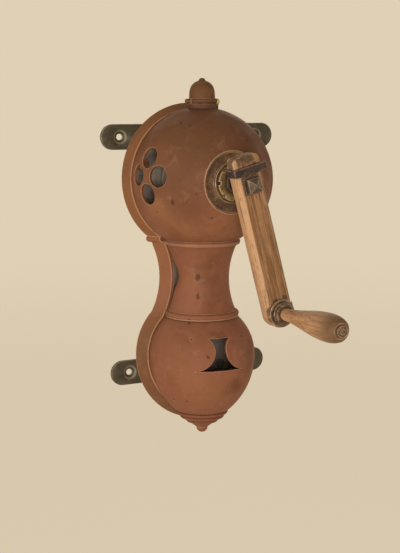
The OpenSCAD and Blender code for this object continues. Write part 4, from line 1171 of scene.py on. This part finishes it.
@dataclass
class Plain:
    """The CAD nodes that keep their own mesh and get a finish."""

    finishes: tuple = (
        ("strap_rivets", Finish.RIVET), ("casting_screws", Finish.DARK), ("lid_hinge_pin", Finish.PIN),
        ("flange_screws", Finish.FLANGE), ("crank_shaft", Finish.DARK), ("thrust_collar", Finish.DARK),
        ("grinding_cone", Finish.TOOTH), ("cone_pin", Finish.DARK), ("grinding_ring", Finish.TOOTH),
        ("ring_screws", Finish.DARK), ("grinding_housing", Finish.HOUSING), ("housing_screws", Finish.DARK),
        ("hopper_floor", Finish.SHEET), ("joint_plate", Finish.SHEET), ("rear_bearing", Finish.BRASS),
        ("grip_spindle", Finish.FERRULE),
    )

    def build(self) -> list[bpy.types.Object]:
        """Sets the finishes and returns the nodes."""
        for node, finish in self.finishes:
            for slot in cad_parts[node].material_slots:
                slot.material = finish.material()
        return [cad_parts[node] for node, _ in self.finishes]


@dataclass(frozen=True)
class Lamp:
    """A soft round light that looks at the mill."""

    name: str
    place: tuple
    size: float
    power: float
    colour: tuple

    def build(self, target: Vector) -> None:
        """Adds the light.

        Args:
            target: what it looks at.
        """
        data = bpy.data.lights.new(self.name, "AREA")
        data.shape = "DISK"
        data.size = self.size
        data.energy = self.power
        data.color = self.colour
        obj = bpy.data.objects.new(self.name, data)
        bpy.context.scene.collection.objects.link(obj)
        obj.location = self.place
        obj.rotation_euler = (target - Vector(self.place)).to_track_quat("-Z", "Y").to_euler()


@dataclass(frozen=True)
class Studio:
    """Camera, floor and soft light, in metres."""

    distance: float = 1.080
    forward: tuple = (0.4491, 0.8815, -0.1461)
    right: tuple = (0.8910, -0.4540, 0.0)
    target: tuple = (0.0, AXIS_Y, -0.125)
    aside: float = -0.0018
    near: float = 0.02
    focal_px: float = 1200.0
    sensor_mm: float = 36.0
    backdrop: str = "#E0D0B5"
    floor_colour: str = "#E6DAC4"
    floor_z: float = -0.62
    floor_r: float = 14.0
    floor_steps: int = 96
    # Near the mill the floor takes a little shadow, and further out it is all backdrop
    shadow_reach: tuple = (1.2, 4.0)
    shadow_share: float = 0.88
    sky: tuple = (1.0, 0.95, 0.88, 1.0)
    sky_strength: float = 0.16
    lamps: tuple = (Lamp("key", (-1.35, -0.6, 0.0), 0.6, 7.6, (1.0, 0.97, 0.92)),
                    Lamp("front", (-0.5, -1.3, -0.1), 0.45, 5.9, (1.0, 0.97, 0.93)),
                    Lamp("fill", (1.05, -0.35, -0.1), 0.9, 1.6, (1.0, 0.95, 0.92)),
                    Lamp("back", (0.5, 0.9, 0.5), 0.9, 2.0, (1.0, 0.95, 0.88)))

    def build(self) -> None:
        """Makes the camera, the floor, the world and the lights."""
        self.camera()
        self.floor()
        self.world()
        for lamp in self.lamps:
            lamp.build(Vector(self.target))

    def camera(self) -> None:
        """Makes the camera and sets it as the scene's."""
        data = bpy.data.cameras.new("camera")
        data.sensor_fit = "VERTICAL"
        data.sensor_height = self.sensor_mm
        data.lens = self.focal_px * self.sensor_mm / IMAGE_H
        data.clip_start = self.near
        obj = bpy.data.objects.new("camera", data)
        bpy.context.scene.collection.objects.link(obj)
        forward = Vector(self.forward).normalized()
        middle = Vector(self.target) + Vector(self.right) * self.aside
        obj.location = middle - forward * self.distance
        obj.rotation_euler = forward.to_track_quat("-Z", "Y").to_euler()
        bpy.context.scene.camera = obj

    def floor(self) -> None:
        """Makes the pale floor."""
        bm = bmesh.new()
        bmesh.ops.create_circle(bm, cap_ends=True, radius=self.floor_r, segments=self.floor_steps,
                                matrix=Matrix.Translation((0, 0, self.floor_z)))
        g = Graph(bpy.data.materials.new("floor_pale"))
        away = g.add("VectorMath", {0: g.place}, operation="LENGTH")
        clear = g.add("MapRange", between(away, *self.shadow_reach, self.shadow_share, 1.0), **SOFT)
        matt = g.add("BsdfDiffuse", {"Color": srgb(self.floor_colour)})
        glow = g.add("Emission", {"Color": srgb(self.backdrop)})
        both = g.add("MixShader", {0: g.overlap(g.seen(), clear), 1: matt, 2: glow})
        g.add("OutputMaterial", {"Surface": both})
        shown("floor", bm, g.holder)

    def world(self) -> None:
        """Sets the pale background and the light that it gives."""
        world = bpy.data.worlds.new("world")
        bpy.context.scene.world = world
        g = Graph(world)
        given = g.add("Background", {"Color": self.sky, "Strength": self.sky_strength})
        backdrop = g.add("Background", {"Color": srgb(self.backdrop)})
        both = g.add("MixShader", {0: g.seen(), 1: given, 2: backdrop})
        g.add("OutputWorld", {"Surface": both})


def main() -> None:
    """Builds the mill and its studio."""
    logging.basicConfig(level=logging.INFO)
    bpy.context.scene.view_settings.view_transform = "Standard"
    for assembly in (Castings(), Crank(), Bearing(), Plain()):
        for obj in assembly.build():
            log.info("%s: %s", type(assembly).__name__, obj.name)
    Studio().build()


if __name__ == "__main__":
    main()
